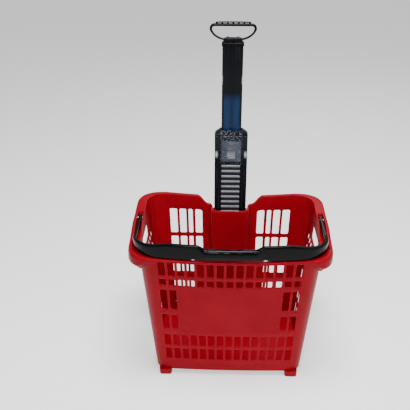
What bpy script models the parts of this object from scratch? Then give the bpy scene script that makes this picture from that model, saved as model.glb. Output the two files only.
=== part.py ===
"""Rolling basket trolley: an open moulded basket on two rear wheels, with a folding carry handle on its
rim and a telescopic pull handle that slides in a sleeve on its back wall. +Z is up, -Y is the front, and
the origin is on the floor under the middle of the object. Sizes below are in millimetres."""

from math import atan2, cos, pi, radians, sin

import bmesh
import bpy
import numpy as np
from mathutils import Matrix, Vector

MM = 0.001

# Basket walls: each wall leans outward from the floor up.
FLOOR_Z = 17.0
WALL = 3.0
HALF_WIDTH_AT_FLOOR = 194.5
SIDE_DRAFT = 0.107
FRONT_AT_FLOOR = 140.0
FRONT_DRAFT = 0.080
BACK_AT_FLOOR = 122.5
BACK_DRAFT = 0.120
CORNER_AT_RIM = 52.0
CORNER_AT_FLOOR = 30.0
BOW_AT_RIM = 12.0
BOW_AT_FLOOR = 4.0
FLAT_AT_RIM = 181.0

# Rim: its height above the floor around the basket, and its overhang past the wall.
RIM_FRONT = 376.0
RIM_SIDE = 396.0
RIM_WING = 400.0
RIM_WING_INNER = 394.0
RIM_DIP = 368.0
LIP_SIDE = 25.5
LIP_FRONT = 9.0
LIP_BACK = 10.5
GROOVE_END = 0.71
SKIRT_SIDE = 54.0
SKIRT_SHIFT = 11.0
SKIRT_FRONT = 12.0
SKIRT_BACK = 26.0

# Rows of slots, as the heights of their edges.
LEVELS = [FLOOR_Z, 55.0, 91.0, 101.0, 137.0, 157.0, 202.0, 221.0]
LEVELS += [270.0, 281.0, 296.0, 314.0, 325.0, 350.0, 367.0]
SLOT_PITCH = 24.4
SLOT_WIDTH = 17.5
FRONT_SLOTS = 15
FOOT_X = 169.0
FOOT_Y = -126.0
FOOT_HALF_X = 17.0
FOOT_HALF_Y = 16.0
FOOT_CORNER = 6.0
BACK_SLOTS = [(80.0, 100.0), (108.0, 120.0), (127.0, 146.0), (153.0, 174.0)]
BACK_SOLID_X = 104.0
BACK_SOLID_Z = 221.0
SIDE_SLOTS = 8

# Mast: a sleeve in a channel of the back wall, and two stages that slide in it.
MAST_Y = 154.0
CHANNEL_HALF = 51.0
CHANNEL_FRONT = 133.0
CHANNEL_BACK = 173.7
CHANNEL_TOP = 360.0
CHANNEL_BOTTOM = 30.0
SLEEVE_HALF = 49.0
SLEEVE_DEPTH = 39.0
SLEEVE_WALL = 2.5
SLEEVE_Z = (34.0, 350.0)
OUTER_HALF = 45.0
OUTER_DEPTH = 32.0
OUTER_Z = (290.0, 586.0)
INNER_HALF = 27.0
INNER_FRONT = 148.0
INNER_BACK = 167.0
INNER_Z = (545.0, 837.0)
CAVITY_HALF = 28.6
CAVITY_Y = (143.0, 168.2)
RIB_PITCH = 15.5
RIB_TOP = 497.0
RIB_COUNT = 13
RIB_HEIGHT = 7.0
LADDER_HALF = 27.0
BUTTON_Z = 530.0
BUTTON_HALF = 12.0
PLATE_HALF_X = 27.0
PLATE_HALF_Z = 30.0
PLATE_Z = 541.0
PLATE_RECESS_Z = (510.7, 571.3)
TEETH_X = 19.0
TEETH_Z = 552.0
TEETH_PITCH = 5.0
COLLAR_RISE = 15.0
COLLAR_TOP_HALF = 31.0
NECK_BAND_Z = (826.0, 834.0)
STOP_Y = 160.4

# Grip at the top of the mast.
GRIP_HALF = 60.0
GRIP_TOP = 887.0
GRIP_NECK_Z = 837.4
GRIP_WINDOWS = 6
PALM_HALF = 46.0
GRIP_SCREW_X = 13.0
GRIP_SCREW_Z = 844.5

# Carry handle, folded forward onto the rim.
BAIL_PIVOT_Y = 34.0
BAIL_PIVOT_Z = 388.2
BAIL_ARM_X = 242.5
BAIL_FRONT_Y = -169.5
BAIL_BOW = 14.0
BAIL_BEND_R = 76.0
STRAP_BOTTOM = 377.6
STRAP_TOP = 418.0
HANDGRIP_BOTTOM = 380.5
HANDGRIP_TOP = 409.0

# Rear wheels.
WHEEL_X = 150.0
WHEEL_Y = 152.0
WHEEL_R = 27.0
AXLE_R = 4.0
BRACKET_LOW = 57.5
BRACKET_GUARD = 61.5
BRACKET_TOP = 96.0
BRACKET_BACK = 164.0

GAP = 0.3


def clear_scene():
    for obj in list(bpy.data.objects):
        bpy.data.objects.remove(obj)


def plastic(name, colour, roughness, metallic=0.0):
    material = bpy.data.materials.new(name)
    material.use_nodes = True
    shader = material.node_tree.nodes["Principled BSDF"]
    shader.inputs["Base Color"].default_value = (*colour, 1.0)
    shader.inputs["Roughness"].default_value = roughness
    shader.inputs["Metallic"].default_value = metallic
    return material


def place(name, bm, material, origin=(0.0, 0.0, 0.0), smooth=False):
    """Makes an object of a mesh given in millimetres, with its origin at a point in millimetres."""
    bmesh.ops.transform(bm, matrix=Matrix.Translation(-Vector(origin)), verts=bm.verts)
    bmesh.ops.scale(bm, vec=(MM, MM, MM), verts=bm.verts)
    mesh = bpy.data.meshes.new(name)
    bm.to_mesh(mesh)
    bm.free()
    if smooth:
        mesh.shade_smooth()
        mesh.set_sharp_from_angle(angle=radians(35.0))
    obj = bpy.data.objects.new(name, mesh)
    obj.location = Vector(origin) * MM
    obj.data.materials.append(material)
    bpy.context.scene.collection.objects.link(obj)
    return obj


def cutter(name, bm):
    """A helper solid for a Boolean, which the model leaves out."""
    bmesh.ops.scale(bm, vec=(MM, MM, MM), verts=bm.verts)
    mesh = bpy.data.meshes.new(name)
    bm.to_mesh(mesh)
    bm.free()
    obj = bpy.data.objects.new(name, mesh)
    obj.hide_render = True
    obj.display_type = "WIRE"
    bpy.context.scene.collection.objects.link(obj)
    return obj


def boolean(obj, helper, operation):
    modifier = obj.modifiers.new(operation.lower() + "_" + helper.name, "BOOLEAN")
    modifier.operation = operation
    modifier.object = helper
    modifier.solver = "EXACT"


def prism(outline, low, high, axis="Z"):
    """A closed prism on a convex or concave outline, extruded along an axis."""
    bm = bmesh.new()
    add_prism(bm, outline, low, high, axis)
    return bm


def add_prism(bm, outline, low, high, axis="Z"):
    order = {"Z": lambda a, b, h: (a, b, h), "Y": lambda a, b, h: (a, h, b), "X": lambda a, b, h: (h, a, b)}
    put = order[axis]
    bottom = [bm.verts.new(put(a, b, low)) for a, b in outline]
    top = [bm.verts.new(put(a, b, high)) for a, b in outline]
    faces = [bm.faces.new(bottom), bm.faces.new(top)]
    for i in range(len(outline)):
        j = (i + 1) % len(outline)
        faces.append(bm.faces.new((bottom[i], bottom[j], top[j], top[i])))
    bmesh.ops.recalc_face_normals(bm, faces=faces)


def box(x, y, z):
    return prism([(x[0], y[0]), (x[1], y[0]), (x[1], y[1]), (x[0], y[1])], z[0], z[1])


def add_box(bm, x, y, z):
    add_prism(bm, [(x[0], y[0]), (x[1], y[0]), (x[1], y[1]), (x[0], y[1])], z[0], z[1])


def ring(outer, inner, low, high, axis="Z"):
    """A tube: the space between two outlines with the same number of points."""
    order = {"Z": lambda a, b, h: (a, b, h), "Y": lambda a, b, h: (a, h, b), "X": lambda a, b, h: (h, a, b)}
    put = order[axis]
    bm = bmesh.new()
    loops = [(outer, low), (outer, high), (inner, high), (inner, low)]
    rows = [[bm.verts.new(put(a, b, h)) for a, b in outline] for outline, h in loops]
    count = len(outer)
    for k in range(4):
        near = rows[k]
        far = rows[(k + 1) % 4]
        for i in range(count):
            j = (i + 1) % count
            bm.faces.new((near[i], near[j], far[j], far[i]))
    bmesh.ops.recalc_face_normals(bm, faces=bm.faces[:])
    return bm


def rounded(half_a, half_b, radius, steps=3, centre=(0.0, 0.0)):
    """A rectangle with round corners, as points in order."""
    points = []
    for quarter, (sa, sb) in enumerate([(1, 1), (-1, 1), (-1, -1), (1, -1)]):
        for k in range(steps + 1):
            angle = (quarter + k / steps) * pi / 2
            a = sa * (half_a - radius) + radius * cos(angle)
            b = sb * (half_b - radius) + radius * sin(angle)
            points.append((centre[0] + a, centre[1] + b))
    return points


def circle(radius, count, centre=(0.0, 0.0)):
    return [
        (centre[0] + radius * cos(2 * pi * k / count), centre[1] + radius * sin(2 * pi * k / count))
        for k in range(count)
    ]


def turned(profile, count):
    """A solid of revolution about X, from a closed profile of (x, radius) points."""
    bm = bmesh.new()
    rows = []
    for k in range(count):
        angle = 2 * pi * k / count
        rows.append([bm.verts.new((x, r * cos(angle), r * sin(angle))) for x, r in profile])
    for k in range(count):
        near = rows[k]
        far = rows[(k + 1) % count]
        for i in range(len(profile)):
            j = (i + 1) % len(profile)
            bm.faces.new((near[i], near[j], far[j], far[i]))
    bmesh.ops.recalc_face_normals(bm, faces=bm.faces[:])
    return bm


def smooth_step(t):
    t = min(max(t, 0.0), 1.0)
    return t * t * (3.0 - 2.0 * t)


def mix(a, b, t):
    return a + (b - a) * t


# ---------------------------------------------------------------- basket shell


def plan(z):
    """Half width, front, back, corner radius and front bow of the walls' outer face at a height."""
    rise = z - FLOOR_Z
    half = HALF_WIDTH_AT_FLOOR + SIDE_DRAFT * rise
    front = -(FRONT_AT_FLOOR + FRONT_DRAFT * rise)
    back = BACK_AT_FLOOR + BACK_DRAFT * rise
    share = rise / (RIM_SIDE - FLOOR_Z)
    corner = mix(CORNER_AT_FLOOR, CORNER_AT_RIM, share)
    return half, front, back, corner, mix(BOW_AT_FLOOR, BOW_AT_RIM, share)


def wall_point(column, z):
    """The point and outward direction of one column of the wall's outer face at a height."""
    wall, t = column
    half, front, back, corner, bow = plan(z)
    flat = half - corner
    if wall == "front":
        return flat * t, front + bow * t * t, 0.0, -1.0
    if wall == "back":
        return flat * t, back, 0.0, 1.0
    low = front + bow + corner
    high = back - corner
    if wall == "right":
        return half, mix(low, high, t), 1.0, 0.0
    if wall == "left":
        return -half, mix(low, high, t), -1.0, 0.0
    angle = radians(t)
    x = flat if cos(angle) > 0 else -flat
    y = high if sin(angle) > 0 else low
    return x + corner * cos(angle), y + corner * sin(angle), cos(angle), sin(angle)


def columns():
    """Every column of the shell in order around it, and the stretches between columns that are slots."""
    front = [-1.0]
    for k in range(FRONT_SLOTS):
        middle = (k - (FRONT_SLOTS - 1) / 2) * SLOT_PITCH
        front += [(middle - SLOT_WIDTH / 2) / FLAT_AT_RIM, (middle + SLOT_WIDTH / 2) / FLAT_AT_RIM]
    front.append(1.0)
    side = [0.0]
    for k in range(SIDE_SLOTS):
        side += [(k + 0.14) / SIDE_SLOTS, (k + 0.86) / SIDE_SLOTS]
    side.append(1.0)
    back = [1.0]
    for low, high in reversed(BACK_SLOTS):
        back += [high / FLAT_AT_RIM, low / FLAT_AT_RIM]
    back += [66.0 / FLAT_AT_RIM, -66.0 / FLAT_AT_RIM]
    for low, high in BACK_SLOTS:
        back += [-low / FLAT_AT_RIM, -high / FLAT_AT_RIM]
    back.append(-1.0)
    turn = [18.0, 36.0, 54.0, 72.0]
    result = [("front", t) for t in front]
    result += [("corner", -90.0 + a) for a in turn]
    result += [("right", t) for t in side]
    result += [("corner", a) for a in turn]
    result += [("back", t) for t in back]
    result += [("corner", 90.0 + a) for a in turn]
    result += [("left", t) for t in reversed(side)]
    result += [("corner", 180.0 + a) for a in turn]
    return result


def side_share(column):
    """How far a column has turned from the front or back to the side: 0 to 1, and its place along Y."""
    wall, t = column
    if wall in ("right", "left"):
        return 1.0
    if wall == "corner":
        return abs(cos(radians(t)))
    return 0.0


def rim_heights(column):
    """The heights of the rim's inner and outer ridges. Both drop to the front, where the handle lies."""
    wall, t = column
    if wall == "front":
        return RIM_FRONT, RIM_FRONT
    if wall in ("right", "left"):
        wing = mix(RIM_SIDE, RIM_WING, smooth_step((t - 0.6) / 0.4))
        inner = mix(RIM_FRONT, wing, smooth_step((t - 0.15) / 0.40))
        outer = mix(RIM_FRONT + 1.0, wing, smooth_step((t + 0.15) / 0.60))
        return inner, outer
    if wall == "back":
        x = abs(t) * FLAT_AT_RIM
        if x > 92.0:
            top = mix(RIM_WING_INNER, RIM_WING, (x - 92.0) / (FLAT_AT_RIM - 92.0))
        else:
            top = mix(RIM_DIP, RIM_WING_INNER, smooth_step((x - 62.0) / 30.0))
        return top, top
    if sin(radians(t)) > 0:
        return RIM_WING, RIM_WING
    return RIM_FRONT, RIM_FRONT + smooth_step(side_share(column))


def has_groove(column):
    """The handle's arms lie in a groove of the rim along the front part of each side."""
    return column[0] in ("right", "left") and column[1] < GROOVE_END


def rim_floor(column):
    """The height of the groove's floor, or of the rim's top where there is no groove."""
    return RIM_FRONT - 1.0 if has_groove(column) else rim_heights(column)[0]


def rim_profile(column):
    """The rim's section beside one column: (out, z) points from the wall's outer face, round the skirt and
    lip and over the top, to the wall's inner face."""
    wall, t = column
    inner_top, top = rim_heights(column)
    turn = side_share(column)
    rear = wall == "back" or (wall == "corner" and sin(radians(t)) > 0)
    share = smooth_step(turn)
    lip = mix(LIP_BACK if rear else LIP_FRONT, LIP_SIDE, share)
    skirt = mix(SKIRT_BACK if rear else SKIRT_FRONT, SKIRT_SIDE, smooth_step(turn * 1.3 - 0.3))
    k = lip / LIP_SIDE
    floor = rim_floor(column)
    lip_drop = min(30.0, skirt - 5.0)
    shift = mix(6.0, SKIRT_SHIFT, share) * k
    return [
        (0.0, floor - WALL),
        (17.5 * k, floor - WALL),
        (18.0 * k, top - WALL),
        (lip - WALL, top - WALL - 1.5),
        (lip - WALL, top - lip_drop + 1.0),
        (lip - WALL - shift, top - lip_drop - 2.0),
        (lip - WALL - shift, top - skirt),
        (lip - shift, top - skirt),
        (lip - shift, top - lip_drop - 1.0),
        (lip, top - lip_drop + 2.0),
        (lip, top - 6.0 * k - 1.0),
        (lip - 3.0 * k, top),
        (15.0 * k, top),
        (14.5 * k, floor),
        (1.5 * k, floor),
        (1.0 * k, inner_top),
        (-WALL, inner_top),
    ]


def level_of(column, z):
    """A wall level, moved up or down near the rim so that it follows the rim's height."""
    if z <= 325.0:
        return z
    return 325.0 + (z - 325.0) * (rim_floor(column) - 325.0) / (RIM_FRONT - 325.0)


def is_slot(column, following, low):
    """Whether the cell between two columns, above a level, is open."""
    wall, t = column
    if following[0] != wall or wall == "corner":
        return False
    middle = (t + following[1]) / 2
    row = LEVELS.index(low)
    if wall == "front":
        number = (middle * FLAT_AT_RIM) / SLOT_PITCH
        if abs(number - round(number)) > 0.1:
            return False
        if row in (1, 3, 10, 12, 13):
            return True
        return row in (5, 7, 8) and abs(number) > 5.5
    if wall == "back":
        x = abs(middle) * FLAT_AT_RIM
        if not any(a < x < b for a, b in BACK_SLOTS) or (x < BACK_SOLID_X and low < BACK_SOLID_Z):
            return False
        return row in (1, 3, 5, 7, 9, 10, 11, 12)
    if row in (12, 13):
        return 0.24 < middle < 0.74
    share = middle * SIDE_SLOTS
    if abs(share - int(share) - 0.5) > 0.1:
        return False
    return row in (1, 3, 5, 7, 9, 10)


def shell_mesh():
    bm = bmesh.new()
    ring_columns = columns()
    outer = []
    inner = []
    rims = []
    for column in ring_columns:
        outer_line = []
        inner_line = []
        for z in LEVELS:
            height = level_of(column, z)
            x, y, nx, ny = wall_point(column, height)
            outer_line.append(bm.verts.new((x, y, height)))
            height = max(height, FLOOR_Z + WALL)
            x, y, nx, ny = wall_point(column, height)
            inner_line.append(bm.verts.new((x - WALL * nx, y - WALL * ny, height)))
        x, y, nx, ny = wall_point(column, rim_heights(column)[0])
        line = [bm.verts.new((x + out * nx, y + out * ny, z)) for out, z in rim_profile(column)]
        outer.append(outer_line)
        inner.append(inner_line)
        rims.append(line)
    count = len(ring_columns)
    rows = len(LEVELS)
    open_cell = [
        [is_slot(ring_columns[i], ring_columns[(i + 1) % count], LEVELS[r]) for r in range(rows)]
        for i in range(count)
    ]
    for i in range(count):
        j = (i + 1) % count
        for r in range(rows - 1):
            if open_cell[i][r]:
                continue
            bm.faces.new((outer[i][r], outer[j][r], outer[j][r + 1], outer[i][r + 1]))
            bm.faces.new((inner[j][r], inner[i][r], inner[i][r + 1], inner[j][r + 1]))
            if r > 0 and open_cell[i][r - 1]:
                bm.faces.new((outer[i][r], inner[i][r], inner[j][r], outer[j][r]))
            if open_cell[i][r + 1]:
                bm.faces.new((outer[i][r + 1], outer[j][r + 1], inner[j][r + 1], inner[i][r + 1]))
            if open_cell[j][r]:
                bm.faces.new((outer[j][r], inner[j][r], inner[j][r + 1], outer[j][r + 1]))
            if open_cell[i - 1][r]:
                bm.faces.new((outer[i][r], outer[i][r + 1], inner[i][r + 1], inner[i][r]))
        if open_cell[i][rows - 2]:
            bm.faces.new((outer[i][-1], inner[i][-1], inner[j][-1], outer[j][-1]))
        bridge = [outer[i][-1]] + rims[i] + [inner[i][-1]]
        following = [outer[j][-1]] + rims[j] + [inner[j][-1]]
        for a in range(len(bridge) - 1):
            bm.faces.new((bridge[a], following[a], following[a + 1], bridge[a + 1]))
    bm.faces.new([line[0] for line in reversed(outer)])
    bm.faces.new([line[0] for line in inner])
    bmesh.ops.triangulate(bm, faces=[f for f in bm.faces if len(f.verts) > 4])
    bmesh.ops.recalc_face_normals(bm, faces=bm.faces[:])
    return bm


def channel_solid(half, front, back, top, bottom, foot):
    """The mast channel's side view, extruded across the basket: it follows the wall near the floor."""
    outline = [(front, top), (front, foot[1]), (foot[0], bottom), (back, bottom), (back, top)]
    return prism(outline, -half, half, "X")


def basket_shell(material):
    shell = place("basket_shell", shell_mesh(), material)
    outside = channel_solid(
        CHANNEL_HALF + WALL, CHANNEL_FRONT - WALL, CHANNEL_BACK, CHANNEL_TOP, CHANNEL_BOTTOM, (122.6, 102.0)
    )
    boolean(shell, cutter("channel_outside", outside), "UNION")
    inside = channel_solid(CHANNEL_HALF, CHANNEL_FRONT, 220.0, 420.0, 20.0, (124.6, 106.0))
    boolean(shell, cutter("channel_inside", inside), "DIFFERENCE")
    feet = bmesh.new()
    for side in (-1, 1):
        outline = rounded(FOOT_HALF_X, FOOT_HALF_Y, FOOT_CORNER, 2, (side * FOOT_X, FOOT_Y))
        add_prism(feet, outline, 0.0, FLOOR_Z + 1.0)
    boolean(shell, cutter("feet", feet), "UNION")
    pins = bmesh.new()
    for side in (-1, 1):
        ends = sorted((side * 233.6, side * 256.0))
        add_prism(pins, circle(3.0 + GAP, 12, (BAIL_PIVOT_Y, BAIL_PIVOT_Z)), ends[0], ends[1], "X")
    boolean(shell, cutter("pin_holes", pins), "DIFFERENCE")
    return shell


def channel_cover(material):
    outline = rounded(CHANNEL_HALF + WALL, 153.0, 6.0, 2, (0.0, 187.0))
    body = prism(outline, CHANNEL_BACK + GAP, CHANNEL_BACK + 3.3, "Y")
    cover = place("rear_channel_cover", body, material)
    holes = bmesh.new()
    for x, z in cover_screw_places():
        add_prism(holes, circle(2.6, 12, (x, z)), CHANNEL_BACK - 1.0, CHANNEL_BACK + 5.0, "Y")
    boolean(cover, cutter("cover_screw_holes", holes), "DIFFERENCE")
    return cover


def cover_screw_places():
    return [(side * 40.0, z) for z in (52.0, 187.0, 326.0) for side in (-1, 1)]


def cover_screws(material):
    for number, (x, z) in enumerate(cover_screw_places(), 1):
        screw("cover_screw_%d" % number, (x, CHANNEL_BACK + 3.6, z), 4.2, 1.8, 4.4, material)


def screw(name, seat, head_r, shank_r, shank, material):
    """A pan-head screw: its head stands on the seat, facing back, and its shank runs forward from it."""
    bm = bmesh.new()
    head_h = 2.2
    profile = [(-shank, 0.0), (-shank, shank_r), (0.0, shank_r), (0.0, head_r), (head_h * 0.6, head_r)]
    profile += [(head_h, head_r * 0.7), (head_h, head_r * 0.35)]
    profile += [(head_h * 0.45, head_r * 0.3), (head_h * 0.45, 0.0)]
    count = 10
    matrix = Matrix.Translation(seat) @ Matrix.Rotation(pi / 2, 4, "Z")
    first = bm.verts.new(matrix @ Vector((profile[0][0], 0.0, 0.0)))
    last = bm.verts.new(matrix @ Vector((profile[-1][0], 0.0, 0.0)))
    rows = []
    for k in range(count):
        angle = 2 * pi * k / count
        row = [bm.verts.new(matrix @ Vector((x, r * cos(angle), r * sin(angle)))) for x, r in profile[1:-1]]
        rows.append(row)
    for k in range(count):
        near = rows[k]
        far = rows[(k + 1) % count]
        bm.faces.new((first, near[0], far[0]))
        bm.faces.new((last, far[-1], near[-1]))
        for i in range(len(near) - 1):
            bm.faces.new((near[i], near[i + 1], far[i + 1], far[i]))
    bmesh.ops.recalc_face_normals(bm, faces=bm.faces[:])
    return place(name, bm, material, seat, smooth=True)


# ---------------------------------------------------------------- carry handle


def bail_path():
    """The handle's centre line in plan from the left pivot round the front to the right pivot, as
    (x, y, heading): two straight arms, two bends and a slightly bowed front."""
    start_x = BAIL_ARM_X - BAIL_BEND_R * (1.0 - sin(bail_front_angle()))
    points = []
    bend_y = bail_front_y(start_x) + BAIL_BEND_R * cos(bail_front_angle())
    for y in np.linspace(BAIL_PIVOT_Y, bend_y, 7)[:-1]:
        points.append((BAIL_ARM_X, float(y), pi / 2))
    for k in range(9):
        heading = mix(pi / 2, bail_front_angle(), k / 8)
        x = BAIL_ARM_X - BAIL_BEND_R * (1.0 - sin(heading))
        y = bend_y - BAIL_BEND_R * cos(heading)
        points.append((x, y, heading))
    for x in (130.0, 108.0, 96.0, 84.0, 72.0, 60.0, 30.0, 0.0):
        points.append((x, bail_front_y(x), atan2(2 * BAIL_BOW * x, 183.0**2)))
    left = [(-x, y, -heading) for x, y, heading in points]
    return left + points[-2::-1]


def bail_front_y(x):
    return BAIL_FRONT_Y + BAIL_BOW * (x / 183.0) ** 2


def bail_front_angle():
    return atan2(2 * BAIL_BOW * 170.0, 183.0**2)


def bail_section(x, y):
    """Half thickness, bottom and top of the handle's section at a place: thin nested arms, a tall strap at
    the front, and a round grip in its middle."""
    rise = smooth_step((-y - 60.0) / 85.0)
    thick = mix(4.5, 6.0, rise)
    bottom = mix(380.0, STRAP_BOTTOM, rise)
    top = mix(396.4, STRAP_TOP, rise)
    grip = 1.0 - smooth_step((abs(x) - 60.0) / 24.0)
    low_grip = 1.0 - smooth_step((abs(x) - 84.0) / 24.0)
    if y < -100.0:
        thick = mix(thick, 10.5, grip)
        bottom = mix(bottom, HANDGRIP_BOTTOM, low_grip)
        top = mix(top, HANDGRIP_TOP, grip)
    return thick, bottom, top


def bail_handle(material):
    bm = bmesh.new()
    rings = []
    for x, y, heading in bail_path():
        thick, bottom, top = bail_section(x, y)
        out = (sin(heading), -cos(heading))
        middle = (bottom + top) / 2
        half = (top - bottom) / 2
        soft = min(3.0, thick * 0.55) if abs(x) > 84.0 or y > -100.0 else thick * 0.7
        shape = [(thick, half - soft), (thick - soft, half), (soft - thick, half), (-thick, half - soft)]
        shape += [(-thick, soft - half), (soft - thick, -half), (thick - soft, -half), (thick, soft - half)]
        rings.append([bm.verts.new((x + a * out[0], y + a * out[1], middle + b)) for a, b in shape])
    for near, far in zip(rings[:-1], rings[1:]):
        for i in range(8):
            j = (i + 1) % 8
            bm.faces.new((near[i], near[j], far[j], far[i]))
    bm.faces.new(rings[0])
    bm.faces.new(rings[-1])
    bmesh.ops.recalc_face_normals(bm, faces=bm.faces[:])
    origin = (0.0, BAIL_PIVOT_Y, BAIL_PIVOT_Z)
    handle = place("bail_handle", bm, material, origin, smooth=True)
    eyes = bmesh.new()
    holes = bmesh.new()
    for side in (-1, 1):
        ends = sorted((side * (BAIL_ARM_X - 4.5), side * (BAIL_ARM_X + 4.5)))
        add_prism(eyes, circle(8.2, 16, (BAIL_PIVOT_Y, BAIL_PIVOT_Z)), ends[0], ends[1], "X")
        ends = sorted((side * (BAIL_ARM_X - 9.0), side * (BAIL_ARM_X + 9.0)))
        add_prism(holes, circle(3.6, 12, (BAIL_PIVOT_Y, BAIL_PIVOT_Z)), ends[0], ends[1], "X")
    boolean(handle, cutter("bail_eyes", eyes), "UNION")
    boolean(handle, cutter("bail_eye_holes", holes), "DIFFERENCE")
    return handle


def bail_pin(side, material):
    bm = turned([(-9.0, 0.9), (-9.0, 3.0), (9.0, 3.0), (9.0, 0.9)], 12)
    bmesh.ops.translate(bm, vec=(side * 243.0, BAIL_PIVOT_Y, BAIL_PIVOT_Z), verts=bm.verts)
    name = "bail_pin_right" if side > 0 else "bail_pin_left"
    return place(name, bm, material, (side * 243.0, BAIL_PIVOT_Y, BAIL_PIVOT_Z), smooth=True)


# ---------------------------------------------------------------- mast


def mast_sleeve(material):
    outer = rounded(SLEEVE_HALF, SLEEVE_DEPTH / 2, 5.0, 3, (0.0, MAST_Y))
    inner = rounded(SLEEVE_HALF - SLEEVE_WALL, SLEEVE_DEPTH / 2 - SLEEVE_WALL, 3.0, 3, (0.0, MAST_Y))
    sleeve = place("mast_sleeve", ring(outer, inner, SLEEVE_Z[0], SLEEVE_Z[1]), material)
    holes = bmesh.new()
    for x, z in cover_screw_places():
        add_prism(holes, circle(2.2, 10, (x, z)), MAST_Y + 15.0, MAST_Y + 22.0, "Y")
    boolean(sleeve, cutter("sleeve_screw_holes", holes), "DIFFERENCE")
    return sleeve


def sleeve_bezel(material):
    """The ring round the sleeve's mouth, which also wipes the stage that slides in it."""
    outer = rounded(SLEEVE_HALF + 0.6, SLEEVE_DEPTH / 2 + 0.6, 5.6, 3, (0.0, MAST_Y))
    inner = rounded(OUTER_HALF + 0.7, OUTER_DEPTH / 2 + 0.7, 3.0, 3, (0.0, MAST_Y))
    return place("sleeve_bezel", ring(outer, inner, SLEEVE_Z[1] + GAP, SLEEVE_Z[1] + 4.0), material)


def sleeve_end_cap(material):
    outline = rounded(SLEEVE_HALF, SLEEVE_DEPTH / 2, 5.0, 3, (0.0, MAST_Y))
    bm = prism(outline, SLEEVE_Z[0] - 3.3, SLEEVE_Z[0] - GAP)
    cap = place("sleeve_end_cap", bm, material)
    plug = box((-44.0, 44.0), (MAST_Y - 15.0, MAST_Y + 15.0), (SLEEVE_Z[0] - 1.0, SLEEVE_Z[0] + 9.0))
    boolean(cap, cutter("end_cap_plug", plug), "UNION")
    return cap


def outer_stage(material):
    """A rectangular tube with a ribbed ladder panel let into its front and a window for the button."""
    outer = rounded(OUTER_HALF, OUTER_DEPTH / 2, 4.0, 3, (0.0, MAST_Y))
    middle = (CAVITY_Y[0] + CAVITY_Y[1]) / 2
    inner = rounded(CAVITY_HALF, (CAVITY_Y[1] - CAVITY_Y[0]) / 2, 1.5, 3, (0.0, middle))
    stage = place("outer_stage", ring(outer, inner, OUTER_Z[0], OUTER_Z[1]), material)
    front = MAST_Y - OUTER_DEPTH / 2
    slots = bmesh.new()
    for k in range(RIB_COUNT + 1):
        low = RIB_TOP - RIB_PITCH * k + RIB_HEIGHT / 2
        span = (low, low + RIB_PITCH - RIB_HEIGHT)
        add_box(slots, (-LADDER_HALF, LADDER_HALF), (front - 2.0, front + 2.2), span)
    boolean(stage, cutter("ladder_recesses", slots), "DIFFERENCE")
    recess = bmesh.new()
    add_box(recess, (-PLATE_HALF_X - GAP, PLATE_HALF_X + GAP), (front - 2.0, front + 2.3), PLATE_RECESS_Z)
    boolean(stage, cutter("plate_recess", recess), "DIFFERENCE")
    window = bmesh.new()
    add_box(window, (-12.5, 12.5), (front - 4.0, CAVITY_Y[0] + 1.0), (BUTTON_Z - 12.5, BUTTON_Z + 12.5))
    boolean(stage, cutter("button_window", window), "DIFFERENCE")
    return stage


def outer_collar(material):
    """The cap on the outer stage: it steps in to the inner stage, which slides through it."""
    middle = (INNER_FRONT + INNER_BACK) / 2
    hole = rounded(INNER_HALF + 0.7, (INNER_BACK - INNER_FRONT) / 2 + 0.7, 1.6, 3, (0.0, middle))
    bm = bmesh.new()
    sections = [
        (OUTER_Z[1] + GAP, rounded(OUTER_HALF, OUTER_DEPTH / 2, 4.0, 3, (0.0, MAST_Y))),
        (OUTER_Z[1] + 4.0, rounded(OUTER_HALF, OUTER_DEPTH / 2, 4.0, 3, (0.0, MAST_Y))),
        (OUTER_Z[1] + COLLAR_RISE, rounded(COLLAR_TOP_HALF, 12.6, 3.0, 3, (0.0, MAST_Y + 2.0))),
    ]
    rows = [[bm.verts.new((x, y, z)) for x, y in outline] for z, outline in sections]
    rows.append([bm.verts.new((x, y, sections[2][0])) for x, y in hole])
    rows.append([bm.verts.new((x, y, sections[0][0])) for x, y in hole])
    count = len(hole)
    for k in range(5):
        near = rows[k]
        far = rows[(k + 1) % 5]
        for i in range(count):
            j = (i + 1) % count
            bm.faces.new((near[i], near[j], far[j], far[i]))
    bmesh.ops.recalc_face_normals(bm, faces=bm.faces[:])
    return place("outer_stage_collar", bm, material)


def latch_plate(material):
    """The toothed plate round the button, flush in a recess of the outer stage's front."""
    front = MAST_Y - OUTER_DEPTH / 2
    outer = rounded(PLATE_HALF_X, PLATE_HALF_Z, 4.0, 3, (0.0, PLATE_Z))
    inner = rounded(12.6, 12.6, 2.0, 3, (0.0, BUTTON_Z))
    plate = place("latch_plate", ring(outer, inner, front + GAP, front + 2.0, "Y"), material)
    teeth = bmesh.new()
    for k in range(4):
        for side in (-1, 1):
            x = side * TEETH_X
            z = TEETH_Z + TEETH_PITCH * k
            add_box(teeth, (x - 4.0, x + 4.0), (front - 1.0, front + 1.2), (z - 1.2, z + 1.2))
    boolean(plate, cutter("latch_teeth", teeth), "DIFFERENCE")
    return plate


def latch_button(material):
    front = MAST_Y - OUTER_DEPTH / 2
    origin = (0.0, front, BUTTON_Z)
    face = rounded(BUTTON_HALF, BUTTON_HALF, 2.0, 3, (0.0, BUTTON_Z))
    button = place("latch_button", prism(face, front + GAP, CAVITY_Y[0] + 0.6, "Y"), material, origin)
    flange = box((-14.5, 14.5), (CAVITY_Y[0] + 0.4, CAVITY_Y[0] + 1.8), (BUTTON_Z - 14.5, BUTTON_Z + 14.5))
    boolean(button, cutter("button_flange", flange), "UNION")
    stem = prism(circle(3.0, 12, (0.0, BUTTON_Z)), CAVITY_Y[0] + 1.0, INNER_FRONT + 2.5, "Y")
    boolean(button, cutter("button_stem", stem), "UNION")
    grips = bmesh.new()
    for k in range(3):
        z = BUTTON_Z - 6.0 + 6.0 * k
        add_box(grips, (-9.0, 9.0), (front - 1.0, front + 1.1), (z - 1.2, z + 1.2))
    boolean(button, cutter("button_grooves", grips), "DIFFERENCE")
    return button


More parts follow.
